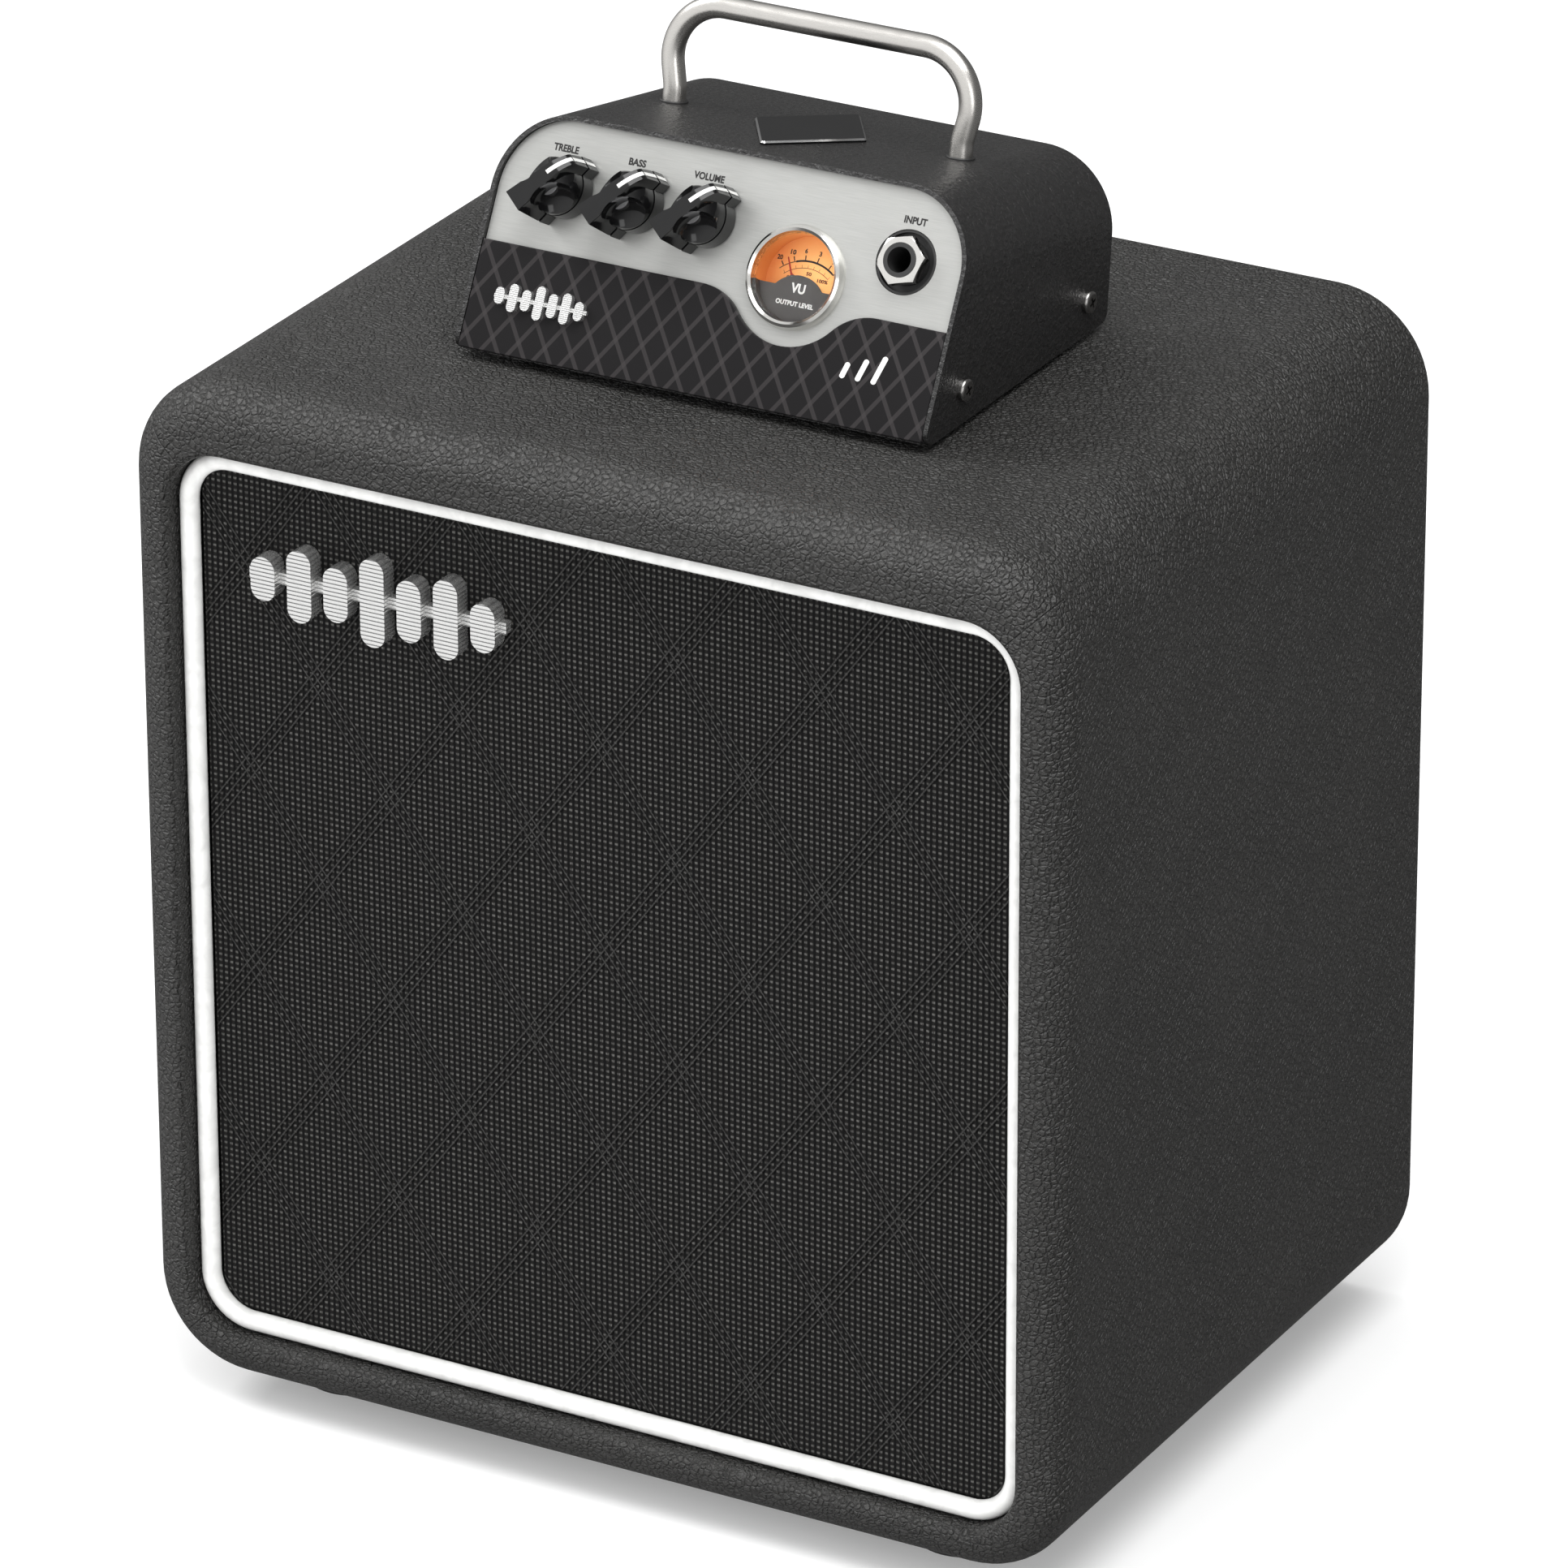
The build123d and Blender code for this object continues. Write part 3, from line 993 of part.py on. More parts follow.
with BuildPart() as knob_form:
    with BuildSketch() as foot_outline:
        Circle(KNOB_R)
        blade(4.4, -8.9, 2.0, 9.7)
    extrude(foot_outline.sketch, amount=GROOVE_Z)
    with BuildSketch(Plane.XY.offset(GROOVE_Z)) as groove_outline:
        Circle(KNOB_R - 0.7)
        blade(3.6, -8.3, 1.3, 9.0)
    extrude(groove_outline.sketch, amount=GROOVE_H)
    with BuildSketch(Plane.XZ) as body_profile:
        with BuildLine():
            Polyline((0, GROOVE_Z), (KNOB_R - 0.7, GROOVE_Z), (KNOB_R - 0.7, GROOVE_Z + GROOVE_H),
                     (KNOB_R - 0.1, GROOVE_Z + GROOVE_H), (KNOB_R - 0.4, BODY_Z))
            ThreePointArc((KNOB_R - 0.4, BODY_Z), (KNOB_R - 2.2, BODY_Z + 3.2), (0, BODY_Z + 5.2))
            Line((0, BODY_Z + 5.2), (0, GROOVE_Z))
        make_face()
    revolve(body_profile.sketch, axis=Axis.Z)
    with BuildPart(mode=Mode.PRIVATE) as fin:
        with BuildSketch(Plane.XY.offset(GROOVE_Z + GROOVE_H)) as fin_low:
            blade(4.2, -8.9, 1.9, 9.6)
        with BuildSketch(Plane.XY.offset(KNOB_H)) as fin_high:
            blade(3.0, -8.7, 1.3, 9.3)
        loft([fin_low.sketch.face(), fin_high.sketch.face()])
        with BuildSketch(Plane.YZ) as fin_side:
            with BuildLine():
                Polyline((9.7, GROOVE_Z + GROOVE_H), (-9, GROOVE_Z + GROOVE_H), (-9, KNOB_H), (2.0, KNOB_H))
                ThreePointArc((2.0, KNOB_H), (5.6, KNOB_H - 0.7), (8.4, KNOB_H - 2.6))
                ThreePointArc((8.4, KNOB_H - 2.6), (9.1, KNOB_H - 3.6), (9.3, KNOB_H - 5.0))
                Line((9.3, KNOB_H - 5.0), (9.7, GROOVE_Z + GROOVE_H))
            make_face()
        extrude(fin_side.sketch, amount=20, both=True, mode=Mode.INTERSECT)
    add(fin.part)
    with Locations((-SCOOP_X, -1.2, SCOOP_Z), (SCOOP_X, -1.2, SCOOP_Z)):
        Sphere(SCOOP_R, mode=Mode.SUBTRACT)
    disc(Plane.XY, 6.4, NUT_H + 1.2, mode=Mode.SUBTRACT)
    disc(Plane.XY, SHAFT_R, SHAFT_TOP - KNOB_LIFT, mode=Mode.SUBTRACT)


def knob_location(x):
    """Where a knob stands on the panel, with its pointer at the rest setting."""
    face = Plane(origin=PANEL.from_local_coords((x, KNOB_V, KNOB_LIFT)), x_dir=(1, 0, 0), z_dir=PANEL.z_dir)
    return face.location * Location((0, 0, 0), (0, 0, -KNOB_TURN))


with BuildPart() as treble_knob:
    with Locations(knob_location(KNOB_X[0])):
        add(knob_form.part)
treble_knob.part.label = "treble_knob"
export_step(treble_knob.part, "parts/treble_knob.step")

with BuildPart() as bass_knob:
    with Locations(knob_location(KNOB_X[1])):
        add(knob_form.part)
bass_knob.part.label = "bass_knob"
export_step(bass_knob.part, "parts/bass_knob.step")

with BuildPart() as volume_knob:
    with Locations(knob_location(KNOB_X[2])):
        add(knob_form.part)
volume_knob.part.label = "volume_knob"
export_step(volume_knob.part, "parts/volume_knob.step")

with BuildPart() as treble_shaft:
    disc(PANEL.offset(SHAFT_TOP), SHAFT_R, -SHAFT_TOP - PANEL_T - 6.5, at=KNOB_SPOTS[0])
treble_shaft.part.label = "treble_shaft"
export_step(treble_shaft.part, "parts/treble_shaft.step")

with BuildPart() as bass_shaft:
    disc(PANEL.offset(SHAFT_TOP), SHAFT_R, -SHAFT_TOP - PANEL_T - 6.5, at=KNOB_SPOTS[1])
bass_shaft.part.label = "bass_shaft"
export_step(bass_shaft.part, "parts/bass_shaft.step")

with BuildPart() as volume_shaft:
    disc(PANEL.offset(SHAFT_TOP), SHAFT_R, -SHAFT_TOP - PANEL_T - 6.5, at=KNOB_SPOTS[2])
volume_shaft.part.label = "volume_shaft"
export_step(volume_shaft.part, "parts/volume_shaft.step")

with BuildPart() as input_jack:
    disc(PANEL.offset(-DISH_DEEP - 1.2), JACK_HOLE_R - 0.15, DISH_DEEP + 1.0, at=JACK_SPOT)
    disc(PANEL.offset(-DISH_DEEP), JACK_HOLE_R - 0.75, DISH_DEEP + 2, mode=Mode.SUBTRACT, at=JACK_SPOT)
    disc(PANEL.offset(-DISH_DEEP), 5.7, DISH_DEEP + NUT_LIFT, at=JACK_SPOT)
    disc(PANEL.offset(NUT_LIFT), FRONT_BUSH_R, FRONT_NUT_H + 0.3, at=JACK_SPOT)
    bar(PANEL.offset(-DISH_DEEP - 1.2), 17, 20, -20, at=JACK_SPOT)
    disc(
        PANEL.offset(NUT_LIFT + FRONT_NUT_H + 0.3), JACK_BORE_R, -FRONT_BORE_L, mode=Mode.SUBTRACT, at=JACK_SPOT
    )
input_jack.part.label = "input_jack"
export_step(input_jack.part, "parts/input_jack.step")

with BuildPart() as input_jack_nut:
    with BuildSketch(PANEL.offset(NUT_LIFT)) as nut:
        with Locations(Location((JACK_X, JACK_V, 0), (0, 0, 15))):
            RegularPolygon(6.65, 6)
    extrude(nut.sketch, amount=FRONT_NUT_H)
    with BuildPart(mode=Mode.PRIVATE) as cone_trim:
        with BuildSketch(PANEL.offset(NUT_LIFT)) as round_outline:
            with Locations(JACK_SPOT):
                Circle(6.75)
        extrude(round_outline.sketch, amount=FRONT_NUT_H)
        chamfer(
            cone_trim.edges().sort_by(lambda edge: PANEL.to_local_coords(edge.center()).Z)[-1], 0.5, 0.9
        )
    add(cone_trim.part, mode=Mode.INTERSECT)
    disc(PANEL.offset(NUT_LIFT), FRONT_BUSH_R, FRONT_NUT_H, mode=Mode.SUBTRACT, at=JACK_SPOT)
input_jack_nut.part.label = "input_jack_nut"
export_step(input_jack_nut.part, "parts/input_jack_nut.step")

# ==== head: rear panel and what is on it =================================================================
REAR_FACE = BACK.offset(REAR_RECESS)  # outer face of the rear panel; heights over it run into the head
REAR_JACK_SPOTS = [(-42, REAR_V), (-18, REAR_V)]
INLET_SPOT = (46, REAR_V)
SWITCH_SPOT = (24, REAR_V)
with BuildPart() as head_rear_panel:
    arch(INSIDE)
    between(REAR_FACE, 0, PANEL_T)
    side_cut(0, -5, 0.2)
    for spot in REAR_JACK_SPOTS:
        disc(REAR_FACE, BUSH_R, PANEL_T, mode=Mode.SUBTRACT, at=spot)
    disc(REAR_FACE, INLET_R, PANEL_T, mode=Mode.SUBTRACT, at=INLET_SPOT)
    with BuildSketch(REAR_FACE) as slot:
        with Locations(SWITCH_SPOT):
            RectangleRounded(SLIDER_W + SWITCH_TRAVEL + 0.6, SLIDER_H + 0.6, 0.5)
    extrude(slot.sketch, amount=PANEL_T, mode=Mode.SUBTRACT)
    for x in (-56, -30, 0, 34, 58):
        disc(REAR_FACE, 1.6, PANEL_T, mode=Mode.SUBTRACT, at=(x * 0.62, REAR_V + 15))
head_rear_panel.part.label = "head_rear_panel"
export_step(head_rear_panel.part, "parts/head_rear_panel.step")

with BuildPart() as rear_sockets:
    for spot in REAR_JACK_SPOTS:
        bar(REAR_FACE.offset(PANEL_T), 15, 16, 20, at=spot)
        disc(REAR_FACE.offset(-3.2), BUSH_R, 3.2 + PANEL_T, at=spot)
        with BuildSketch(REAR_FACE) as nut:
            with Locations(spot):
                RegularPolygon(7.2, 6)
        extrude(nut.sketch, amount=-2.4)
        disc(REAR_FACE.offset(-3.2), JACK_BORE_R, REAR_BORE_L, mode=Mode.SUBTRACT, at=spot)
    bar(REAR_FACE.offset(PANEL_T), 12, 13, 12, at=INLET_SPOT)
    disc(REAR_FACE.offset(-0.8), INLET_R, 0.8 + PANEL_T, at=INLET_SPOT)
    disc(REAR_FACE.offset(-0.8), INLET_BORE_R, INLET_L, mode=Mode.SUBTRACT, at=INLET_SPOT)
    disc(REAR_FACE.offset(-0.4), 1.0, INLET_L - 0.4, at=INLET_SPOT)
    bar(REAR_FACE.offset(PANEL_T + 1.6), 16, 9, 7, at=SWITCH_SPOT)
rear_sockets.part.label = "rear_sockets"
export_step(rear_sockets.part, "parts/rear_sockets.step")

with BuildPart() as power_switch:
    bar(
        REAR_FACE.offset(PANEL_T + 1.4), SLIDER_W, SLIDER_H, -PANEL_T - 1.4 - SLIDER_OUT,
        at=(SWITCH_SPOT[0] - SWITCH_TRAVEL / 2, REAR_V),
    )
power_switch.part.label = "power_switch"
export_step(power_switch.part, "parts/power_switch.step")

# ==== head: electronics ==================================================================================
BOARD_Z = HEAD_Z + TRAY_T + BOARD_UP
BOARD_SPOT = (HEAD_X, HEAD_Y + 50.5)
with BuildPart() as main_board:
    bar(Plane.XY.offset(BOARD_Z), 112, 62, 1.6, at=BOARD_SPOT)
    for dx in (-50, 50):
        for dy in (-26, 26):
            disc(
                Plane.XY.offset(HEAD_Z + TRAY_T), 2.6, BOARD_UP, at=(BOARD_SPOT[0] + dx, BOARD_SPOT[1] + dy)
            )
main_board.part.label = "main_board"
export_step(main_board.part, "parts/main_board.step")

with BuildPart() as capacitors:
    for dx, dy in ((-46, 8), (-33, 8), (-46, -8), (-33, -8), (34, 16)):
        disc(Plane.XY.offset(BOARD_Z + 1.6), 5.0, 15, at=(BOARD_SPOT[0] + dx, BOARD_SPOT[1] + dy))
    fillet(capacitors.edges().filter_by(GeomType.CIRCLE).group_by(Axis.Z)[-1], 0.8)
    for dx in (38, 50):
        bar(Plane.XY.offset(BOARD_Z + 1.6), 10, 10, 8, at=(BOARD_SPOT[0] + dx - 6, BOARD_SPOT[1] - 8))
capacitors.part.label = "capacitors"
export_step(capacitors.part, "parts/capacitors.step")

with BuildPart() as tube_module:
    bar(TOP.offset(-13.5), 46, 20, 1.4, at=(0, WINDOW_S))
    bar(TOP.offset(-12.1), 41, 15, 4.6, at=(0, WINDOW_S))
    fillet(tube_module.faces().sort_by(Axis.Z)[-1].edges(), 1.0)
    for dx in (-20, 20):
        rest = TOP.from_local_coords((dx, WINDOW_S, -13.5))
        disc(Plane.XY.offset(BOARD_Z + 1.6), 1.5, rest.Z - BOARD_Z - 1.6, at=(rest.X, rest.Y))
tube_module.part.label = "tube_module"
export_step(tube_module.part, "parts/tube_module.step")
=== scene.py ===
"""Looks of the small guitar amplifier: finishes, the woven grille cloth, the printing and the studio.

Metres, in the CAD frame: X to the right as the player sees the front, Y to the back and Z up.
"""
import json
import math

import bpy
from mathutils import Matrix, Vector


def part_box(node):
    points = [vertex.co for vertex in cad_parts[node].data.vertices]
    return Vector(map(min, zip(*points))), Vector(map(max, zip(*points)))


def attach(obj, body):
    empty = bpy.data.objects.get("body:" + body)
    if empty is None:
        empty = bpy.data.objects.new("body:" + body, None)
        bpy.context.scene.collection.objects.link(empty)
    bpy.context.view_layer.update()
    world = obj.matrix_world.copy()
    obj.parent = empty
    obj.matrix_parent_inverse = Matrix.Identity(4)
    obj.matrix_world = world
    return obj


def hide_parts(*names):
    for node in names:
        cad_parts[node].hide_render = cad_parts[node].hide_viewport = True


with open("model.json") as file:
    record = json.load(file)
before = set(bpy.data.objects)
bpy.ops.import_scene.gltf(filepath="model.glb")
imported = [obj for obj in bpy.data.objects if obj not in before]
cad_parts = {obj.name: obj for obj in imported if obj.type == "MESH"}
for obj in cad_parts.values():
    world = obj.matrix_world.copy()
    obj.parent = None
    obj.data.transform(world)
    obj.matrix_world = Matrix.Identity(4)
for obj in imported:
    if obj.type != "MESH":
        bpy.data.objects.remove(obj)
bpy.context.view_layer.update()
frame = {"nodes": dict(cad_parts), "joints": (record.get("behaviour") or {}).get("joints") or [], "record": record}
nodes = frame["nodes"]
joints = {joint["name"]: joint for joint in frame["joints"]}
slots = {part["node"]: part["material_slot"] for part in frame["record"]["subparts"]}

MM = 0.001

# Sizes in millimetres. Places on the head's panel are (across, up) from the panel's lower middle.
HEAD_X = 2.0
KNOB_X = {"treble": -46.8, "bass": -26.3, "volume": -5.8}
KNOB_V = 45.8
KNOB_TURN = 41.0  # degrees clockwise that each pointer stands at rest
KNOB_LIFT = 0.4
METER_SPOT = (21.8, 35.8)
PIVOT_DROP = 7.0  # needle's pivot under the meter's middle
DIAL_Z = -5.5  # dial card behind the panel
MASK_Z = -2.2  # printed mask behind the panel
MASK_LINE = -2.2  # straight edge of the mask, from the meter's middle
LAMP = (4.0, 1.0)  # lamp behind the dial, from the meter's middle
CARD_CLEAR = 0.3  # faces this far above the card belong to the raised plate
WALL_Z = -7.5  # lowest part of the lit wall round the dial
RIM_Z = -0.1  # faces above this are the housing's rim
PRINT = 0.03  # ink above what it is printed on
CAP = 1.9  # height of the panel's letters
BOLD = 0.038  # how far the letters' outlines are pushed out, as a share of their size

# The dial's ink: radii from the needle's pivot
TICK_R = (12.2, 13.4)
NUMBER_R = 14.5
FINE_TICK_R = (10.3, 11.0)
PERCENT_R = 8.9

STROKE_X = 41.0  # the fascia's three strokes, each taller than the one before
STROKE_V = (14.4, 17.0)
STROKE_PITCH = 4.4
STROKE_GROWTH = 1.6
STROKE_R = 0.8
STROKE_LEAN = 0.32
FASCIA_T = 1.5

CAB_MIDDLE_Z = 145.0
MITRE = (106.0, 109.0)  # where the vinyl's front seams start, from the middle: across and up
FRONT_Y = -93.0  # the vinyl's seams stop just behind this

DIAMOND_W = 41.5  # the grille cloth's woven diamonds
DIAMOND_H = 56.3
CROSSING = (-61.9, 182.7)
LINE_GAP = 2.1  # between the middle line of a band and the ones beside it
THREAD = 0.82  # half of one weave cell
CLOTH_CORNER = 9.9
HEM_ROWS = 5
HEM_STEP = 1.5
CLOTH_IN = 0.04  # cloth behind the front of its CAD solid
SLIVER = 0.02  # faces under this share of a cell are left out at the rounded corners
THREAD_RISE = (0.02, 0.16)  # low and high crossings of the threads

LATTICE_W = 7.6  # the fascia's printed diamonds
LATTICE_H = 11.4
CABINET_RIBS = 1.1  # from rib to rib on each emblem
HEAD_RIBS = 0.45
SMOOTH_ANGLE = 35  # degrees
WELD = 0.002  # vertices nearer than this are joined before shading
BEVEL = (0.4, 0.97)  # cosines of the slopes that belong to the window's bevel


# ==== shader building ====================================================================================
class Finish:
    """A material being built: each call adds a node and returns its output."""

    def __init__(self, name, color, roughness, metallic=0.0, **inputs):
        self.material = bpy.data.materials.new(name)
        self.material.use_nodes = True
        self.tree = self.material.node_tree
        self.surface = self.tree.nodes["Principled BSDF"]
        self.put(self.surface, "Base Color", (*color, 1.0))
        self.put(self.surface, "Roughness", roughness)
        self.put(self.surface, "Metallic", metallic)
        for key, value in inputs.items():
            self.put(self.surface, key.replace("_", " "), value)
        place = self.tree.nodes.new("ShaderNodeTexCoord").outputs["Object"]
        self.mm = self.node("ShaderNodeVectorMath", {0: place, "Scale": 1 / MM}, operation="SCALE")

    def put(self, node, key, value):
        """Link or set one input of a node."""
        if isinstance(value, bpy.types.NodeSocket):
            self.tree.links.new(value, node.inputs[key])
        else:
            node.inputs[key].default_value = value

    def node(self, kind, inputs, output=0, **settings):
        made = self.tree.nodes.new(kind)
        for key, value in settings.items():
            setattr(made, key, value)
        for key, value in inputs.items():
            self.put(made, key, value)
        return made.outputs[output]

    def calc(self, operation, a, b=0.0, c=0.0):
        return self.node("ShaderNodeMath", {0: a, 1: b, 2: c}, operation=operation)

    def along(self, direction, offset=0.0):
        """Distance in millimetres along a direction, measured from the frame's origin."""
        inputs = {0: self.mm, 1: direction}
        dot = self.node("ShaderNodeVectorMath", inputs, "Value", operation="DOT_PRODUCT")
        return self.calc("SUBTRACT", dot, offset)

    def stretched(self, scale):
        return self.node("ShaderNodeVectorMath", {0: self.mm, 1: scale}, operation="MULTIPLY")

    def noise(self, scale, detail=2.0, where=None, distortion=0.0):
        """Noise with features about 1 / scale millimetres across."""
        return self.node(
            "ShaderNodeTexNoise",
            {"Vector": where or self.mm, "Scale": scale, "Detail": detail, "Distortion": distortion},
        )

    def cells(self, scale, feature="DISTANCE_TO_EDGE", where=None):
        inputs = {"Vector": where or self.mm, "Scale": scale}
        return self.node("ShaderNodeTexVoronoi", inputs, "Distance", feature=feature)

    def between(self, value, low, high, to_low=0.0, to_high=1.0):
        """Map low to high onto to_low to to_high, held at the ends."""
        return self.node(
            "ShaderNodeMapRange", {0: value, 1: low, 2: high, 3: to_low, 4: to_high}, clamp=True
        )

    def lattice(self, across, upward, crossing, width, height):
        """Distance in millimetres from each of two families of slanting lines that make diamonds."""
        pitch = 1 / math.hypot(1 / width, 1 / height)
        shift = self.calc("DIVIDE", self.calc("SUBTRACT", across, crossing[0]), width)
        rise = self.calc("DIVIDE", self.calc("SUBTRACT", upward, crossing[1]), height)
        distances = []
        for slant in (1, -1):
            run = self.calc("ADD", shift, self.calc("MULTIPLY", rise, slant))
            distances.append(self.calc("MULTIPLY", self.calc("PINGPONG", run, 0.5), pitch))
        return distances

    def mix(self, share, a, b):
        a = a if isinstance(a, bpy.types.NodeSocket) else (*a, 1.0)
        b = b if isinstance(b, bpy.types.NodeSocket) else (*b, 1.0)
        made = self.tree.nodes.new("ShaderNodeMix")
        made.data_type = "RGBA"
        self.put(made, 0, share)
        self.put(made, 6, a)
        self.put(made, 7, b)
        return made.outputs[2]

    def color(self, value):
        self.put(self.surface, "Base Color", value)

    def rough(self, value):
        self.put(self.surface, "Roughness", value)

    def bumps(self, *layers):
        """Stack bump layers: (height output, height in mm)."""
        normal = None
        for height, depth in layers:
            inputs = {"Height": height, "Distance": depth * MM, "Strength": 1.0}
            if normal:
                inputs["Normal"] = normal
            normal = self.node("ShaderNodeBump", inputs)
        self.put(self.surface, "Normal", normal)


def vinyl():
    """Black textured vinyl: leather grain, soft wrinkles, and seams at the front corners."""
    f = Finish("black_vinyl", (0.03, 0.029, 0.028), 0.5, Specular_IOR_Level=0.75)
    drift = f.node("ShaderNodeTexNoise", {"Vector": f.mm, "Scale": 0.35}, 1)
    wander = f.node("ShaderNodeVectorMath", {0: f.mm, 1: drift}, operation="ADD")
    creases = f.between(f.cells(0.62, where=wander), 0.0, 0.22)
    pebbles = f.noise(1.9, 3.0)
    wrinkles = f.noise(0.05, 4.0, where=f.stretched((1.0, 0.6, 0.8)), distortion=1.6)
    shade = f.between(f.noise(0.018, 5.0), 0.35, 0.7)
    tone = f.mix(shade, (0.0185, 0.0177, 0.0163), (0.0265, 0.0252, 0.0232))
    # The grain's creases are darker in colour, where shade falls: painted shade.
    crease_shade = f.calc("MULTIPLY", f.calc("SUBTRACT", 1.0, creases), 0.45)
    f.color(f.mix(crease_shade, tone, (0.010, 0.0097, 0.0095)))
    wear = f.calc("ADD", f.calc("MULTIPLY", pebbles, 0.6), f.calc("MULTIPLY", shade, 0.4))
    f.rough(f.between(wear, 0.2, 0.8, 0.33, 0.52))
    x_in = f.calc("ABSOLUTE", f.along((1, 0, 0)))
    z_in = f.calc("ABSOLUTE", f.along((0, 0, 1), CAB_MIDDLE_Z))
    corner = f.calc("SUBTRACT", f.calc("SUBTRACT", x_in, MITRE[0]), f.calc("SUBTRACT", z_in, MITRE[1]))
    seam = f.between(f.calc("ABSOLUTE", corner), 0.0, 0.45)
    far_in = f.between(f.calc("MINIMUM", x_in, z_in), MITRE[0] - 0.5, MITRE[0] + 0.5)
    front = f.between(f.along((0, 1, 0)), FRONT_Y, FRONT_Y + 1.0, 1.0, 0.0)
    cut = f.calc("MULTIPLY", f.calc("MULTIPLY", f.calc("SUBTRACT", 1.0, seam), far_in), front)
    f.bumps((wrinkles, 1.3), (creases, 0.52), (pebbles, 0.40), (f.calc("SUBTRACT", 1.0, cut), 0.5))
    return f.material


def wood():
    """Plywood edges and faces: long soft grain with darker plies."""
    f = Finish("birch_ply", (0.6, 0.43, 0.26), 0.55)
    grain = f.noise(0.9, 5.0, where=f.stretched((0.06, 0.5, 0.5)), distortion=0.8)
    plies = f.node("ShaderNodeTexWave", {"Vector": f.mm, "Scale": 0.22, "Distortion": 1.5}, 0,
                   bands_direction="DIAGONAL")
    figure = f.calc("MULTIPLY", f.calc("ADD", grain, f.calc("MULTIPLY", plies, 0.3)), 0.8)
    f.color(f.mix(figure, (0.42, 0.28, 0.155), (0.7, 0.53, 0.34)))
    f.rough(f.between(grain, 0.3, 0.7, 0.45, 0.7))
    f.bumps((grain, 0.12))
    return f.material


def cloth():
    """Black grille cloth: light threads between dark ribs, and bands of three lines round each diamond."""
    f = Finish("grille_fabric", (0.012, 0.012, 0.012), 0.62, Specular_IOR_Level=0.08)
    cell = 2 * THREAD
    x, z = f.along((1, 0, 0)), f.along((0, 0, 1))
    across = f.calc("PINGPONG", x, cell / 2)
    upward = f.calc("PINGPONG", z, cell / 2)
    gap = f.calc("MULTIPLY", f.between(across, 0.3, 0.52), f.between(upward, 0.40, 0.62))
    fibre = f.noise(2.6, 2.0, where=f.stretched((1.0, 1.0, 0.25)))
    body = f.mix(f.between(across, 0.2, 0.6), (0.0045, 0.0045, 0.0047), (0.0115, 0.011, 0.0105))
    dashes = f.calc("MULTIPLY", gap, f.between(fibre, 0.40, 0.60, 0.35, 1.0))
    tone = f.mix(dashes, body, (0.11, 0.108, 0.103))
    lines = []
    for off in f.lattice(x, z, CROSSING, DIAMOND_W, DIAMOND_H):
        beside = f.calc("ABSOLUTE", f.calc("SUBTRACT", off, LINE_GAP))
        lines.append(f.calc("MINIMUM", off, beside))
    near = f.calc("MINIMUM", *lines)
    ridge = f.between(near, 0.25, 0.75, 1.0, 0.0)
    # Paler colour along the raised lines, broken by the yarn's twist: painted highlight.
    twist = f.between(f.calc("PINGPONG", f.calc("ADD", x, z), 0.55), 0.1, 0.45, 0.5, 1.0)
    light = f.calc("MULTIPLY", f.between(near, 0.08, 0.26, 1.0, 0.0), twist)
    # Darker colour in the grooves round the lines: painted shade.
    dark = f.between(near, 0.3, 0.8, 1.0, 0.0)
    tone = f.mix(f.calc("MULTIPLY", dark, 0.6), tone, (0.005, 0.005, 0.0052))
    f.color(f.mix(f.calc("MULTIPLY", light, 0.6), tone, (0.075, 0.074, 0.072)))
    f.rough(f.between(fibre, 0.3, 0.7, 0.5, 0.72))
    f.bumps((ridge, 0.45), (fibre, 0.05))
    return f.material


def shaded(color, share):
    """A lighter or darker copy of a colour."""
    return tuple(min(1, share * c) for c in color)


def powder(name, color, roughness, grain=1.5, depth=0.12):
    """Textured powder coat: close pebbles, with the high spots a little shinier."""
    f = Finish(name, color, roughness)
    pebbles = f.noise(grain, 3.0, distortion=0.4)
    broad = f.noise(0.03, 3.0)
    # Lighter colour on the pebbles' high spots and darker in their hollows: painted light and shade.
    f.color(f.mix(f.between(pebbles, 0.35, 0.65), shaded(color, 0.75), shaded(color, 1.2)))
    f.rough(f.between(f.calc("ADD", pebbles, f.calc("MULTIPLY", broad, 0.4)), 0.4, 1.0,
                      roughness + 0.08, roughness - 0.08))
    f.bumps((pebbles, depth), (f.noise(grain * 3.2, 2.0), depth * 0.25))
    return f.material


def metal(name, color, roughness, brush=(1.0, 1.0, 1.0), depth=0.006, metallic=1.0):
    """Metal with fine brush marks, drawn out along the directions with a small number in brush."""
    f = Finish(name, color, roughness, metallic)
    marks = f.noise(6.0, 4.0, where=f.stretched(brush))
    smears = f.noise(0.12, 4.0)
    f.color(f.mix(f.between(marks, 0.3, 0.7), shaded(color, 0.88), color))
    f.rough(f.between(f.calc("ADD", f.calc("MULTIPLY", marks, 0.5), f.calc("MULTIPLY", smears, 0.5)),
                      0.3, 0.7, roughness * 0.8, roughness * 1.25))
    f.bumps((marks, depth))
    return f.material


def plain(name, color, roughness, grain=2.2, depth=0.01, **inputs):
    """Moulded or sprayed surface: slight mottling, faint handling marks and a fine skin."""
    f = Finish(name, color, roughness, **inputs)
    skin = f.noise(grain, 3.0)
    marks = f.noise(0.16, 5.0, distortion=1.0)
    f.color(f.mix(f.between(marks, 0.3, 0.7), shaded(color, 0.86), shaded(color, 1.06)))
    f.rough(f.between(marks, 0.3, 0.75, max(0.02, roughness * 0.8), min(1.0, roughness * 1.25)))
    f.bumps((skin, depth))
    return f.material


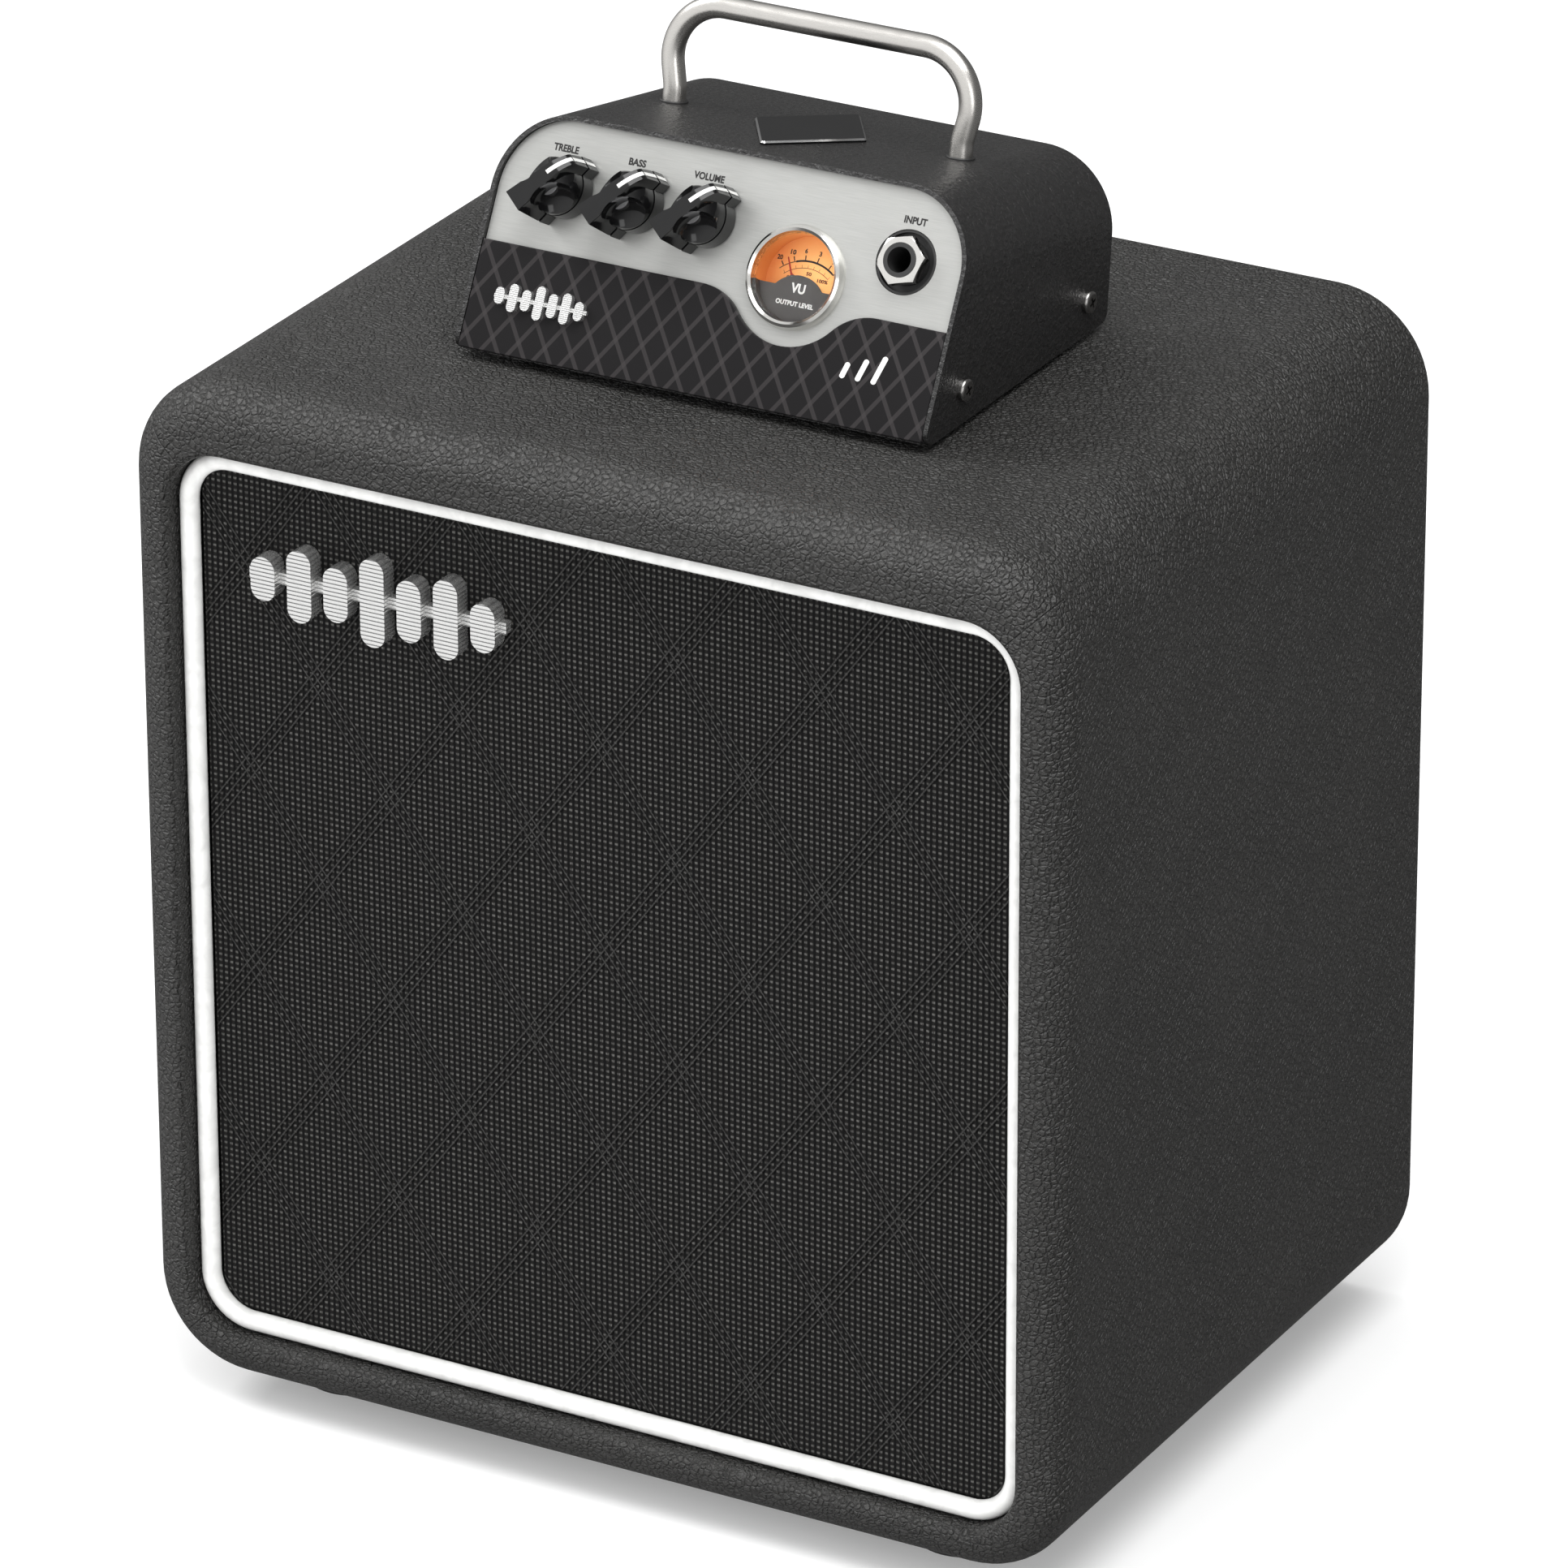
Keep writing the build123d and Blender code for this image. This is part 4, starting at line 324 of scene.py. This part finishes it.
def fascia():
    """Dark printed strip with a lattice of paler bands round narrow diamonds."""
    f = Finish("fascia_print", (0.022, 0.021, 0.023), 0.36, Specular_IOR_Level=0.13)
    u = f.along((1, 0, 0), HEAD_X)
    v = f.along(tuple(PANEL_UP), PANEL_UP.dot(PANEL_AT) / MM)
    shares = [f.between(off, 0.50, 0.62, 1.0, 0.0) for off in f.lattice(u, v, (0, 0), LATTICE_W, LATTICE_H)]
    band = f.calc("MAXIMUM", *shares)
    crossing = f.calc("MULTIPLY", *shares)
    speck = f.noise(5.0, 2.0)
    pale = f.mix(crossing, (0.034, 0.031, 0.032), (0.044, 0.040, 0.041))
    f.color(f.mix(band, (0.0105, 0.0098, 0.0105), pale))
    f.rough(f.between(speck, 0.3, 0.7, 0.32, 0.44))
    f.bumps((band, 0.02), (speck, 0.006))
    return f.material


def emblem_finish(name, pitch):
    """Bright plated faces with fine ribs across, pitch apart."""
    f = Finish(name, (0.86, 0.86, 0.86), 0.22, metallic=0.85)
    ribs = f.calc("DIVIDE", f.calc("PINGPONG", f.along((0, 0, 1)), pitch / 2), pitch)
    worn = f.noise(0.5, 4.0)
    # Grey colour in the ribs' grooves: painted shade.
    f.color(f.mix(f.between(ribs, 0.05, 0.18), (0.50, 0.50, 0.50), (0.84, 0.84, 0.83)))
    f.rough(f.between(worn, 0.3, 0.7, 0.16, 0.32))
    f.bumps((f.between(ribs, 0.05, 0.25), 0.14 * pitch), (worn, 0.01))
    return f.material


def dial_card():
    """Back-lit card: yellow towards the lamp at the right and red at the far left."""
    f = Finish("dial_card", (0.9, 0.42, 0.1), 0.7)
    lamp = METER_AT + LAMP[0] * MM * Vector((1, 0, 0)) + LAMP[1] * MM * PANEL_UP
    away = f.node("ShaderNodeVectorMath", {0: f.mm, 1: tuple(lamp / MM)}, "Value", operation="DISTANCE")
    paper = f.noise(1.2, 3.0)
    glow = f.mix(f.between(away, 3.0, 15.0), (0.96, 0.57, 0.21), (0.60, 0.17, 0.03))
    glow = f.mix(f.calc("MULTIPLY", paper, 0.12), glow, (0.9, 0.56, 0.28))
    f.color(glow)
    f.put(f.surface, "Emission Color", glow)
    f.put(f.surface, "Emission Strength", f.between(away, 2.0, 15.0, 0.62, 0.25))
    f.bumps((paper, 0.01))
    return f.material


def clear_lens():
    f = Finish("lens_clear", (1.0, 1.0, 1.0), 0.03, Transmission_Weight=1.0, IOR=1.12)
    dust = f.noise(0.8, 5.0)
    f.rough(f.between(dust, 0.4, 0.8, 0.015, 0.06))
    return f.material


def window_gloss():
    f = Finish("window_gloss", (0.004, 0.004, 0.0043), 0.05, Specular_IOR_Level=0.12)
    smears = f.noise(0.2, 5.0, distortion=1.2)
    f.rough(f.between(smears, 0.35, 0.75, 0.03, 0.12))
    f.bumps((f.noise(0.06, 2.0), 0.03))
    return f.material


# ==== places taken from the frame ========================================================================
OUT = Vector(joints["treble_turn"]["axis"]).normalized()
PANEL_UP = OUT.cross(Vector((1, 0, 0)))
TREBLE_AT = Vector(joints["treble_turn"]["pos_m"])
PANEL_AT = TREBLE_AT - MM * Vector((KNOB_X["treble"], 0, 0)) - MM * KNOB_V * PANEL_UP
PANEL = Matrix.Translation(PANEL_AT) @ Matrix((Vector((1, 0, 0)), PANEL_UP, OUT)).transposed().to_4x4()
METER_AT = PANEL @ Vector((METER_SPOT[0] * MM, METER_SPOT[1] * MM, 0))

# ==== finishes on the CAD nodes ==========================================================================
FINISHES = {
    "birch_ply": wood(),
    "black_paint_wood": plain("black_paint_wood", (0.02, 0.02, 0.02), 0.7, 0.8, 0.05),
    "black_vinyl": vinyl(),
    "rubber": plain("rubber", (0.022, 0.022, 0.022), 0.75, 1.4, 0.04),
    "zinc_steel": metal("zinc_steel", (0.62, 0.62, 0.6), 0.3),
    "black_steel": powder("black_steel", (0.017, 0.0165, 0.0165), 0.30, 0.8, 0.62),
    "panel_black": powder("panel_black", (0.02, 0.02, 0.021), 0.45, 2.5, 0.03),
    "panel_silver": metal("panel_silver", (0.475, 0.478, 0.462), 0.36, (0.03, 1.0, 1.0), 0.0004, 0.5),
    "fascia_print": fascia(),
    "grille_fabric": cloth(),
    "white_piping": plain(
        "white_piping", (0.88, 0.88, 0.865), 0.22, 0.5, 0.008, Coat_Weight=0.3
    ),
    "emblem_metal": emblem_finish("emblem_metal", CABINET_RIBS),
    "cone_paper": plain("cone_paper", (0.03, 0.029, 0.027), 0.8, 0.9, 0.08),
    "basket_steel": powder("basket_steel", (0.035, 0.035, 0.036), 0.35, 0.8, 0.05),
    "ferrite": plain("ferrite", (0.06, 0.06, 0.063), 0.6, 1.2, 0.05),
    "copper": metal("copper", (0.72, 0.38, 0.2), 0.35, (1.0, 0.2, 1.0)),
    "phenolic": plain("phenolic", (0.34, 0.2, 0.08), 0.6, 1.5, 0.05),
    "black_plastic": plain(
        "black_plastic", (0.006, 0.006, 0.0063), 0.11, 1.6, 0.008, Specular_IOR_Level=0.4
    ),
    "matt_plastic": plain("matt_plastic", (0.02, 0.02, 0.02), 0.5, 2.0, 0.02),
    "wire_red": plain("wire_red", (0.4, 0.02, 0.015), 0.35, 1.0, 0.01),
    "brushed_handle": metal("brushed_handle", (0.70, 0.68, 0.65), 0.27, (0.05, 1.2, 1.2), 0.010),
    "nickel": metal("nickel", (0.78, 0.77, 0.74), 0.13),
    "lens_clear": clear_lens(),
    "dial_card": dial_card(),
    "needle_red": plain("needle_red", (0.42, 0.008, 0.004), 0.4),
    "window_gloss": window_gloss(),
    "circuit_board": plain("circuit_board", (0.02, 0.12, 0.05), 0.4, 0.6, 0.02),
    "capacitor_sleeve": plain("capacitor_sleeve", (0.02, 0.024, 0.05), 0.3),
    "aluminium": metal("aluminium", (0.72, 0.72, 0.73), 0.35),
}
WHITE = plain("print_white", (0.82, 0.82, 0.80), 0.4)
INK = plain("print_black", (0.012, 0.011, 0.011), 0.45)
BROWN = plain("print_brown", (0.16, 0.03, 0.008), 0.5)
GREY = plain("mask_grey", (0.075, 0.07, 0.068), 0.42)
EDGE = metal("bright_edge", (0.75, 0.75, 0.75), 0.2)
OWN_FINISH = {  # for nodes that look different from their slot
    "shell_screws": metal("dark_nickel", (0.36, 0.35, 0.34), 0.2),
    "head_emblem": emblem_finish("small_emblem_metal", HEAD_RIBS),
}


def smooth_group():
    """A modifier that joins the frame's split vertices and shades smoothly over blunt edges."""
    group = bpy.data.node_groups.new("smooth_by_angle", "GeometryNodeTree")
    group.interface.new_socket("Geometry", in_out="INPUT", socket_type="NodeSocketGeometry")
    group.interface.new_socket("Geometry", in_out="OUTPUT", socket_type="NodeSocketGeometry")
    add = group.nodes.new
    start, end = add("NodeGroupInput"), add("NodeGroupOutput")
    weld = add("GeometryNodeMergeByDistance")
    weld.inputs["Distance"].default_value = WELD * MM
    angle = add("GeometryNodeInputMeshEdgeAngle")
    blunt = add("FunctionNodeCompare")
    blunt.operation = "LESS_EQUAL"
    blunt.inputs[1].default_value = math.radians(SMOOTH_ANGLE)
    faces, edges = add("GeometryNodeSetShadeSmooth"), add("GeometryNodeSetShadeSmooth")
    edges.domain = "EDGE"
    link = group.links.new
    link(start.outputs[0], weld.inputs[0])
    link(weld.outputs[0], faces.inputs["Geometry"])
    link(faces.outputs[0], edges.inputs["Geometry"])
    link(angle.outputs["Unsigned Angle"], blunt.inputs[0])
    link(blunt.outputs[0], edges.inputs["Shade Smooth"])
    link(edges.outputs[0], end.inputs[0])
    return group


SMOOTH = smooth_group()
for name, node in nodes.items():
    node.data.materials.clear()
    node.data.materials.append(OWN_FINISH.get(name, FINISHES[slots[name]]))
    node.modifiers.new("smooth", "NODES").node_group = SMOOTH

# A bright bevel round the top window, a grey mask on the meter's raised plate, and the lamp's glow on the
# wall round the dial
window = nodes["top_window"].data
window.materials.append(EDGE)
top_normal = max(window.polygons, key=lambda face: face.area * face.normal.z).normal.copy()
for face in window.polygons:
    if BEVEL[0] < face.normal.dot(top_normal) < BEVEL[1]:
        face.material_index = 1
dial = nodes["meter_dial"].data
dial.materials.append(GREY)
for face in dial.polygons:
    if (PANEL.inverted() @ face.center).z > (DIAL_Z + CARD_CLEAR) * MM:
        face.material_index = 1
housing = nodes["meter_housing"].data
housing.materials.append(FINISHES["dial_card"])
housing.materials.append(GREY)
for face in housing.polygons:
    spot = (PANEL.inverted() @ face.center) / MM
    radial = Vector((spot.x - METER_SPOT[0], spot.y - METER_SPOT[1], 0))
    faces_inward = face.normal.dot(PANEL.to_3x3() @ radial) < -0.5 * radial.length
    if faces_inward and spot.z > WALL_Z or spot.z > RIM_Z:
        face.material_index = 1 if radial.y > MASK_LINE else 2


# ==== pieces made here ===================================================================================
def piece(name, points, faces, material, body, smooth=False):
    """A mesh in the CAD frame that rides on a body."""
    mesh = bpy.data.meshes.new(name)
    mesh.from_pydata([tuple(p) for p in points], [], faces)
    mesh.materials.append(material)
    for face in mesh.polygons:
        face.use_smooth = smooth
    made = bpy.data.objects.new(name, mesh)
    bpy.context.scene.collection.objects.link(made)
    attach(made, body)
    return made


def woven_cloth():
    """The grille cloth as threads over and under each other, drawn round the frame's edge."""
    low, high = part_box("grille_cloth")
    step = THREAD * MM
    corner = CLOTH_CORNER * MM
    middle = (low + high) / 2
    half = (high - low) / 2
    across, upward = int(half.x / step), int(half.z / step)
    columns = range(-across - HEM_ROWS, across + HEM_ROWS + 1)
    rows = range(-upward - HEM_ROWS, upward + HEM_ROWS + 1)
    points = []
    for j in rows:
        for i in columns:
            x = max(-half.x, min(half.x, i * step))
            z = max(-half.z, min(half.z, j * step))
            over_x, over_z = abs(x) - (half.x - corner), abs(z) - (half.z - corner)
            if over_x > 0 and over_z > 0:
                reach = math.hypot(over_x, over_z)
                if reach > corner:
                    x = math.copysign(half.x - corner + over_x * corner / reach, x)
                    z = math.copysign(half.z - corner + over_z * corner / reach, z)
            back = max(0, abs(i) - across, abs(j) - upward) * HEM_STEP * MM
            weave = 0.0 if back else THREAD_RISE[(i + j) % 2] * MM
            points.append(Vector((middle.x + x, low.y + CLOTH_IN * MM + weave + back, middle.z + z)))
    wide = len(columns)
    faces = []
    for j in range(len(rows) - 1):
        for i in range(wide - 1):
            loop = (j * wide + i, j * wide + i + 1, (j + 1) * wide + i + 1, (j + 1) * wide + i)
            spread = [points[n] for n in loop]
            doubled_area = (spread[2] - spread[0]).cross(spread[3] - spread[1]).length
            if doubled_area > SLIVER * step * step:
                faces.append(loop)
    made = piece("woven_grille", points, faces, FINISHES["grille_fabric"], "cabinet", True)
    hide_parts("grille_cloth")


woven_cloth()


def on_panel(u, v, height):
    return PANEL @ Vector((u * MM, v * MM, height * MM))


def print_text(name, text, at, cap, width, height, material):
    """Flat lettering on the panel, centred on at, with letters cap high and the word width wide."""
    curve = bpy.data.curves.new(name, "FONT")
    curve.body = text
    curve.resolution_u = 4
    curve.offset = BOLD
    holder = bpy.data.objects.new(name, curve)
    bpy.context.scene.collection.objects.link(holder)
    bpy.context.view_layer.update()
    mesh = bpy.data.meshes.new_from_object(holder)
    bpy.data.objects.remove(holder)
    xs, ys = [v.co.x for v in mesh.vertices], [v.co.y for v in mesh.vertices]
    wide, tall = max(xs) - min(xs), max(ys) - min(ys)
    points = []
    for x, y in zip(xs, ys):
        across = at[0] + ((x - min(xs)) / wide - 0.5) * width
        upward = at[1] + ((y - min(ys)) / tall - 0.5) * cap
        points.append(on_panel(across, upward, height))
    return piece(name, points, [tuple(face.vertices) for face in mesh.polygons], material, "head")


LABELS = (  # piece, word, middle and width
    ("label_treble", "TREBLE", (-49.7, 56.1), 7.2),
    ("label_bass", "BASS", (-29.1, 56.1), 4.9),
    ("label_volume", "VOLUME", (-8.5, 56.1), 8.7),
    ("label_input", "INPUT", (50.3, 55.5), 6.4),
)
for name, text, spot, width in LABELS:
    print_text(name, text, spot, CAP, width, PRINT, INK)


def round_pivot(radius, degrees):
    """Place on the panel at a radius from the needle's pivot, degrees clockwise from straight up."""
    turn = math.radians(degrees)
    return METER_SPOT[0] + radius * math.sin(turn), METER_SPOT[1] - PIVOT_DROP + radius * math.cos(turn)


def arc_band(name, start, end, inner, outer, height, material, steps=40):
    """Part of a ring round the needle's pivot, from start to end degrees."""
    points, faces = [], []
    for n in range(steps + 1):
        for radius in (inner, outer):
            points.append(on_panel(*round_pivot(radius, start + (end - start) * n / steps), height))
        if n:
            faces.append((2 * n - 2, 2 * n - 1, 2 * n + 1, 2 * n))
    return piece(name, points, faces, material, "head")


INK_Z = DIAL_Z + PRINT
DIAL_ARCS = (  # piece, from and to in degrees, inner and outer radius, ink
    ("dial_arc_low", -42, -19, 11.9, 12.1, INK),
    ("dial_arc_high", -19, 36, 11.75, 12.25, INK),
    ("dial_arc_percent", -40, 34, 10.15, 10.3, BROWN),
)
for name, start, end, inner, outer, ink in DIAL_ARCS:
    arc_band(name, start, end, inner, outer, INK_Z, ink)
SCALE = (("20", -36.0), ("10", -21.0), ("6", -7.0), ("3", 9.0), ("1", 26.0))  # number and its angle
for text, turn in SCALE:
    arc_band("dial_tick_" + text, turn - 0.7, turn + 0.7, *TICK_R, INK_Z, INK, 2)
    spot = round_pivot(NUMBER_R, turn)
    print_text("dial_number_" + text, text, spot, 1.25, 0.75 * len(text), INK_Z, INK)
for n in range(9):
    turn = -38 + 9 * n
    arc_band(f"dial_fine_tick_{n}", turn - 0.3, turn + 0.3, *FINE_TICK_R, INK_Z, BROWN, 2)
PERCENT = (("0", -36.0, 0.7), ("50", 2.0, 1.5), ("100%", 30.0, 3.0))  # number, its angle and width
for text, turn, width in PERCENT:
    spot = round_pivot(PERCENT_R, turn)
    print_text("dial_percent_" + text.rstrip("%"), text, spot, 0.95, width, INK_Z, BROWN)
MASK_WORDS = (  # piece, word, drop from the meter's middle, letter height and width
    ("mask_vu", "VU", 2.4, 2.5, 4.0),
    ("mask_level", "OUTPUT LEVEL", 6.3, 1.25, 10.6),
)
for name, text, drop, cap, width in MASK_WORDS:
    spot = (METER_SPOT[0], METER_SPOT[1] - drop)
    print_text(name, text, spot, cap, width, MASK_Z + PRINT, WHITE)

# A generic motif at the fascia's lower right: three round-ended strokes
OUTLINE_STEPS = 24
for n in range(3):
    shift = STROKE_X + STROKE_PITCH * n
    low_v, high_v = STROKE_V[0], STROKE_V[1] + STROKE_GROWTH * n
    ring = []
    for k in range(OUTLINE_STEPS):
        turn = 2 * math.pi * k / OUTLINE_STEPS
        end_v = high_v if math.sin(turn) > 0 else low_v
        across = shift + STROKE_R * math.cos(turn) + STROKE_LEAN * (end_v - low_v)
        ring.append(on_panel(across, end_v + STROKE_R * math.sin(turn), FASCIA_T + PRINT))
    piece(f"fascia_stroke_{n}", ring, [tuple(range(OUTLINE_STEPS))], WHITE, "head")

# The knobs' white pointer lines: along the blade's top, over the bend and down the nose, and on below the
# groove, as (out from the shaft, up from the panel)
NOSE = (
    (2.9, 15.95), (4.2, 15.75), (5.6, 15.3), (7.1, 14.5),
    (8.4, 13.4), (9.1, 12.4), (9.3, 11.0), (9.7, 5.85),
)
FOOT = ((9.7, 5.15), (9.7, 0.15))
LINE_HALF = 0.55
LINE_PROUD = 0.08
POINTING = Matrix.Rotation(-math.radians(KNOB_TURN), 4, "Z")
for knob, x in KNOB_X.items():
    at = PANEL @ Matrix.Translation(Vector((x, KNOB_V, KNOB_LIFT)) * MM) @ POINTING
    points, faces = [], []
    for run in (NOSE, FOOT):
        first = len(points)
        for n, (y, z) in enumerate(run):
            before, after = run[max(0, n - 1)], run[min(len(run) - 1, n + 1)]
            tangent = Vector((after[0] - before[0], after[1] - before[1])).normalized()
            proud = Vector((-tangent.y, tangent.x)) * LINE_PROUD
            for side in (-LINE_HALF, LINE_HALF):
                points.append(at @ (Vector((side, y + proud.x, z + proud.y)) * MM))
            if n:
                k = first + 2 * n
                faces.append((k - 2, k - 1, k + 1, k))
    piece(knob + "_line", points, faces, WHITE, knob + "_control", True)

# ==== studio =============================================================================================
def plane(name, corners, material):
    mesh = bpy.data.meshes.new(name)
    mesh.from_pydata(corners, [], [(0, 1, 2, 3)])
    mesh.materials.append(material)
    made = bpy.data.objects.new(name, mesh)
    bpy.context.scene.collection.objects.link(made)
    return made


FAR = 6.0  # metres from the middle to the floor's edges
FLOOR = Finish("floor", (0.84, 0.84, 0.84), 0.6, Emission_Color=(1, 1, 1, 1), Emission_Strength=0.25)
floor = plane("floor", [(-FAR, -FAR, 0), (FAR, -FAR, 0), (FAR, FAR, 0), (-FAR, FAR, 0)], FLOOR.material)
floor.visible_glossy = False  # dark surfaces mirror the dark studio at the back, not the pale floor


def soft_light(name, at, aim, width, height, watts):
    lamp = bpy.data.lights.new(name, "AREA")
    lamp.shape = "RECTANGLE"
    lamp.size, lamp.size_y = width, height
    lamp.energy = watts
    made = bpy.data.objects.new(name, lamp)
    made.location = at
    made.rotation_euler = (Vector(aim) - Vector(at)).to_track_quat("-Z", "Y").to_euler()
    bpy.context.scene.collection.objects.link(made)


soft_light("key", (-1.7, -0.2, 1.7), (0, 0, 0.2), 1.0, 0.8, 22)
soft_light("fill", (1.7, -1.4, 0.9), (0, 0, 0.15), 0.8, 1.2, 6)
soft_light("top", (0.5, -0.3, 2.0), (0, 0, 0.25), 1.6, 1.2, 30)

# The studio's walls: pale towards the upper left front, and dark low down at the back
world = bpy.data.worlds.new("studio")
world.use_nodes = True
wall = world.node_tree
facing = wall.nodes.new("ShaderNodeVectorMath")
facing.operation = "DOT_PRODUCT"
facing.inputs[1].default_value = Vector((-0.40, -0.75, 0.53)).normalized()
wall.links.new(wall.nodes.new("ShaderNodeTexCoord").outputs["Generated"], facing.inputs[0])
level = wall.nodes.new("ShaderNodeMapRange")
level.interpolation_type = "SMOOTHSTEP"
for key, value in ((1, -0.4), (2, 0.9), (3, 0.16), (4, 1.05)):  # from and to, each low then high
    level.inputs[key].default_value = value
wall.links.new(facing.outputs["Value"], level.inputs[0])
wall.links.new(level.outputs[0], wall.nodes["Background"].inputs["Strength"])
wall.nodes["Background"].inputs["Color"].default_value = (1, 1, 1, 1)
scene = bpy.context.scene
scene.world = world
scene.view_settings.view_transform = "Standard"

CAMERA_AT = Vector((1.2087, -2.1632, 1.2971))
CAMERA_AIM = Vector((-0.0006, 0.0, 0.1622))
CAMERA_ROLL = -0.191
camera = bpy.data.objects.new("camera", bpy.data.cameras.new("camera"))
camera.data.lens = 242.43
camera.data.sensor_width = 36.0
camera.data.clip_end = 50.0
camera.matrix_world = (
    Matrix.Translation(CAMERA_AT)
    @ (CAMERA_AIM - CAMERA_AT).to_track_quat("-Z", "Y").to_matrix().to_4x4()
    @ Matrix.Rotation(math.radians(CAMERA_ROLL), 4, "Z")
)
scene.collection.objects.link(camera)
scene.camera = camera
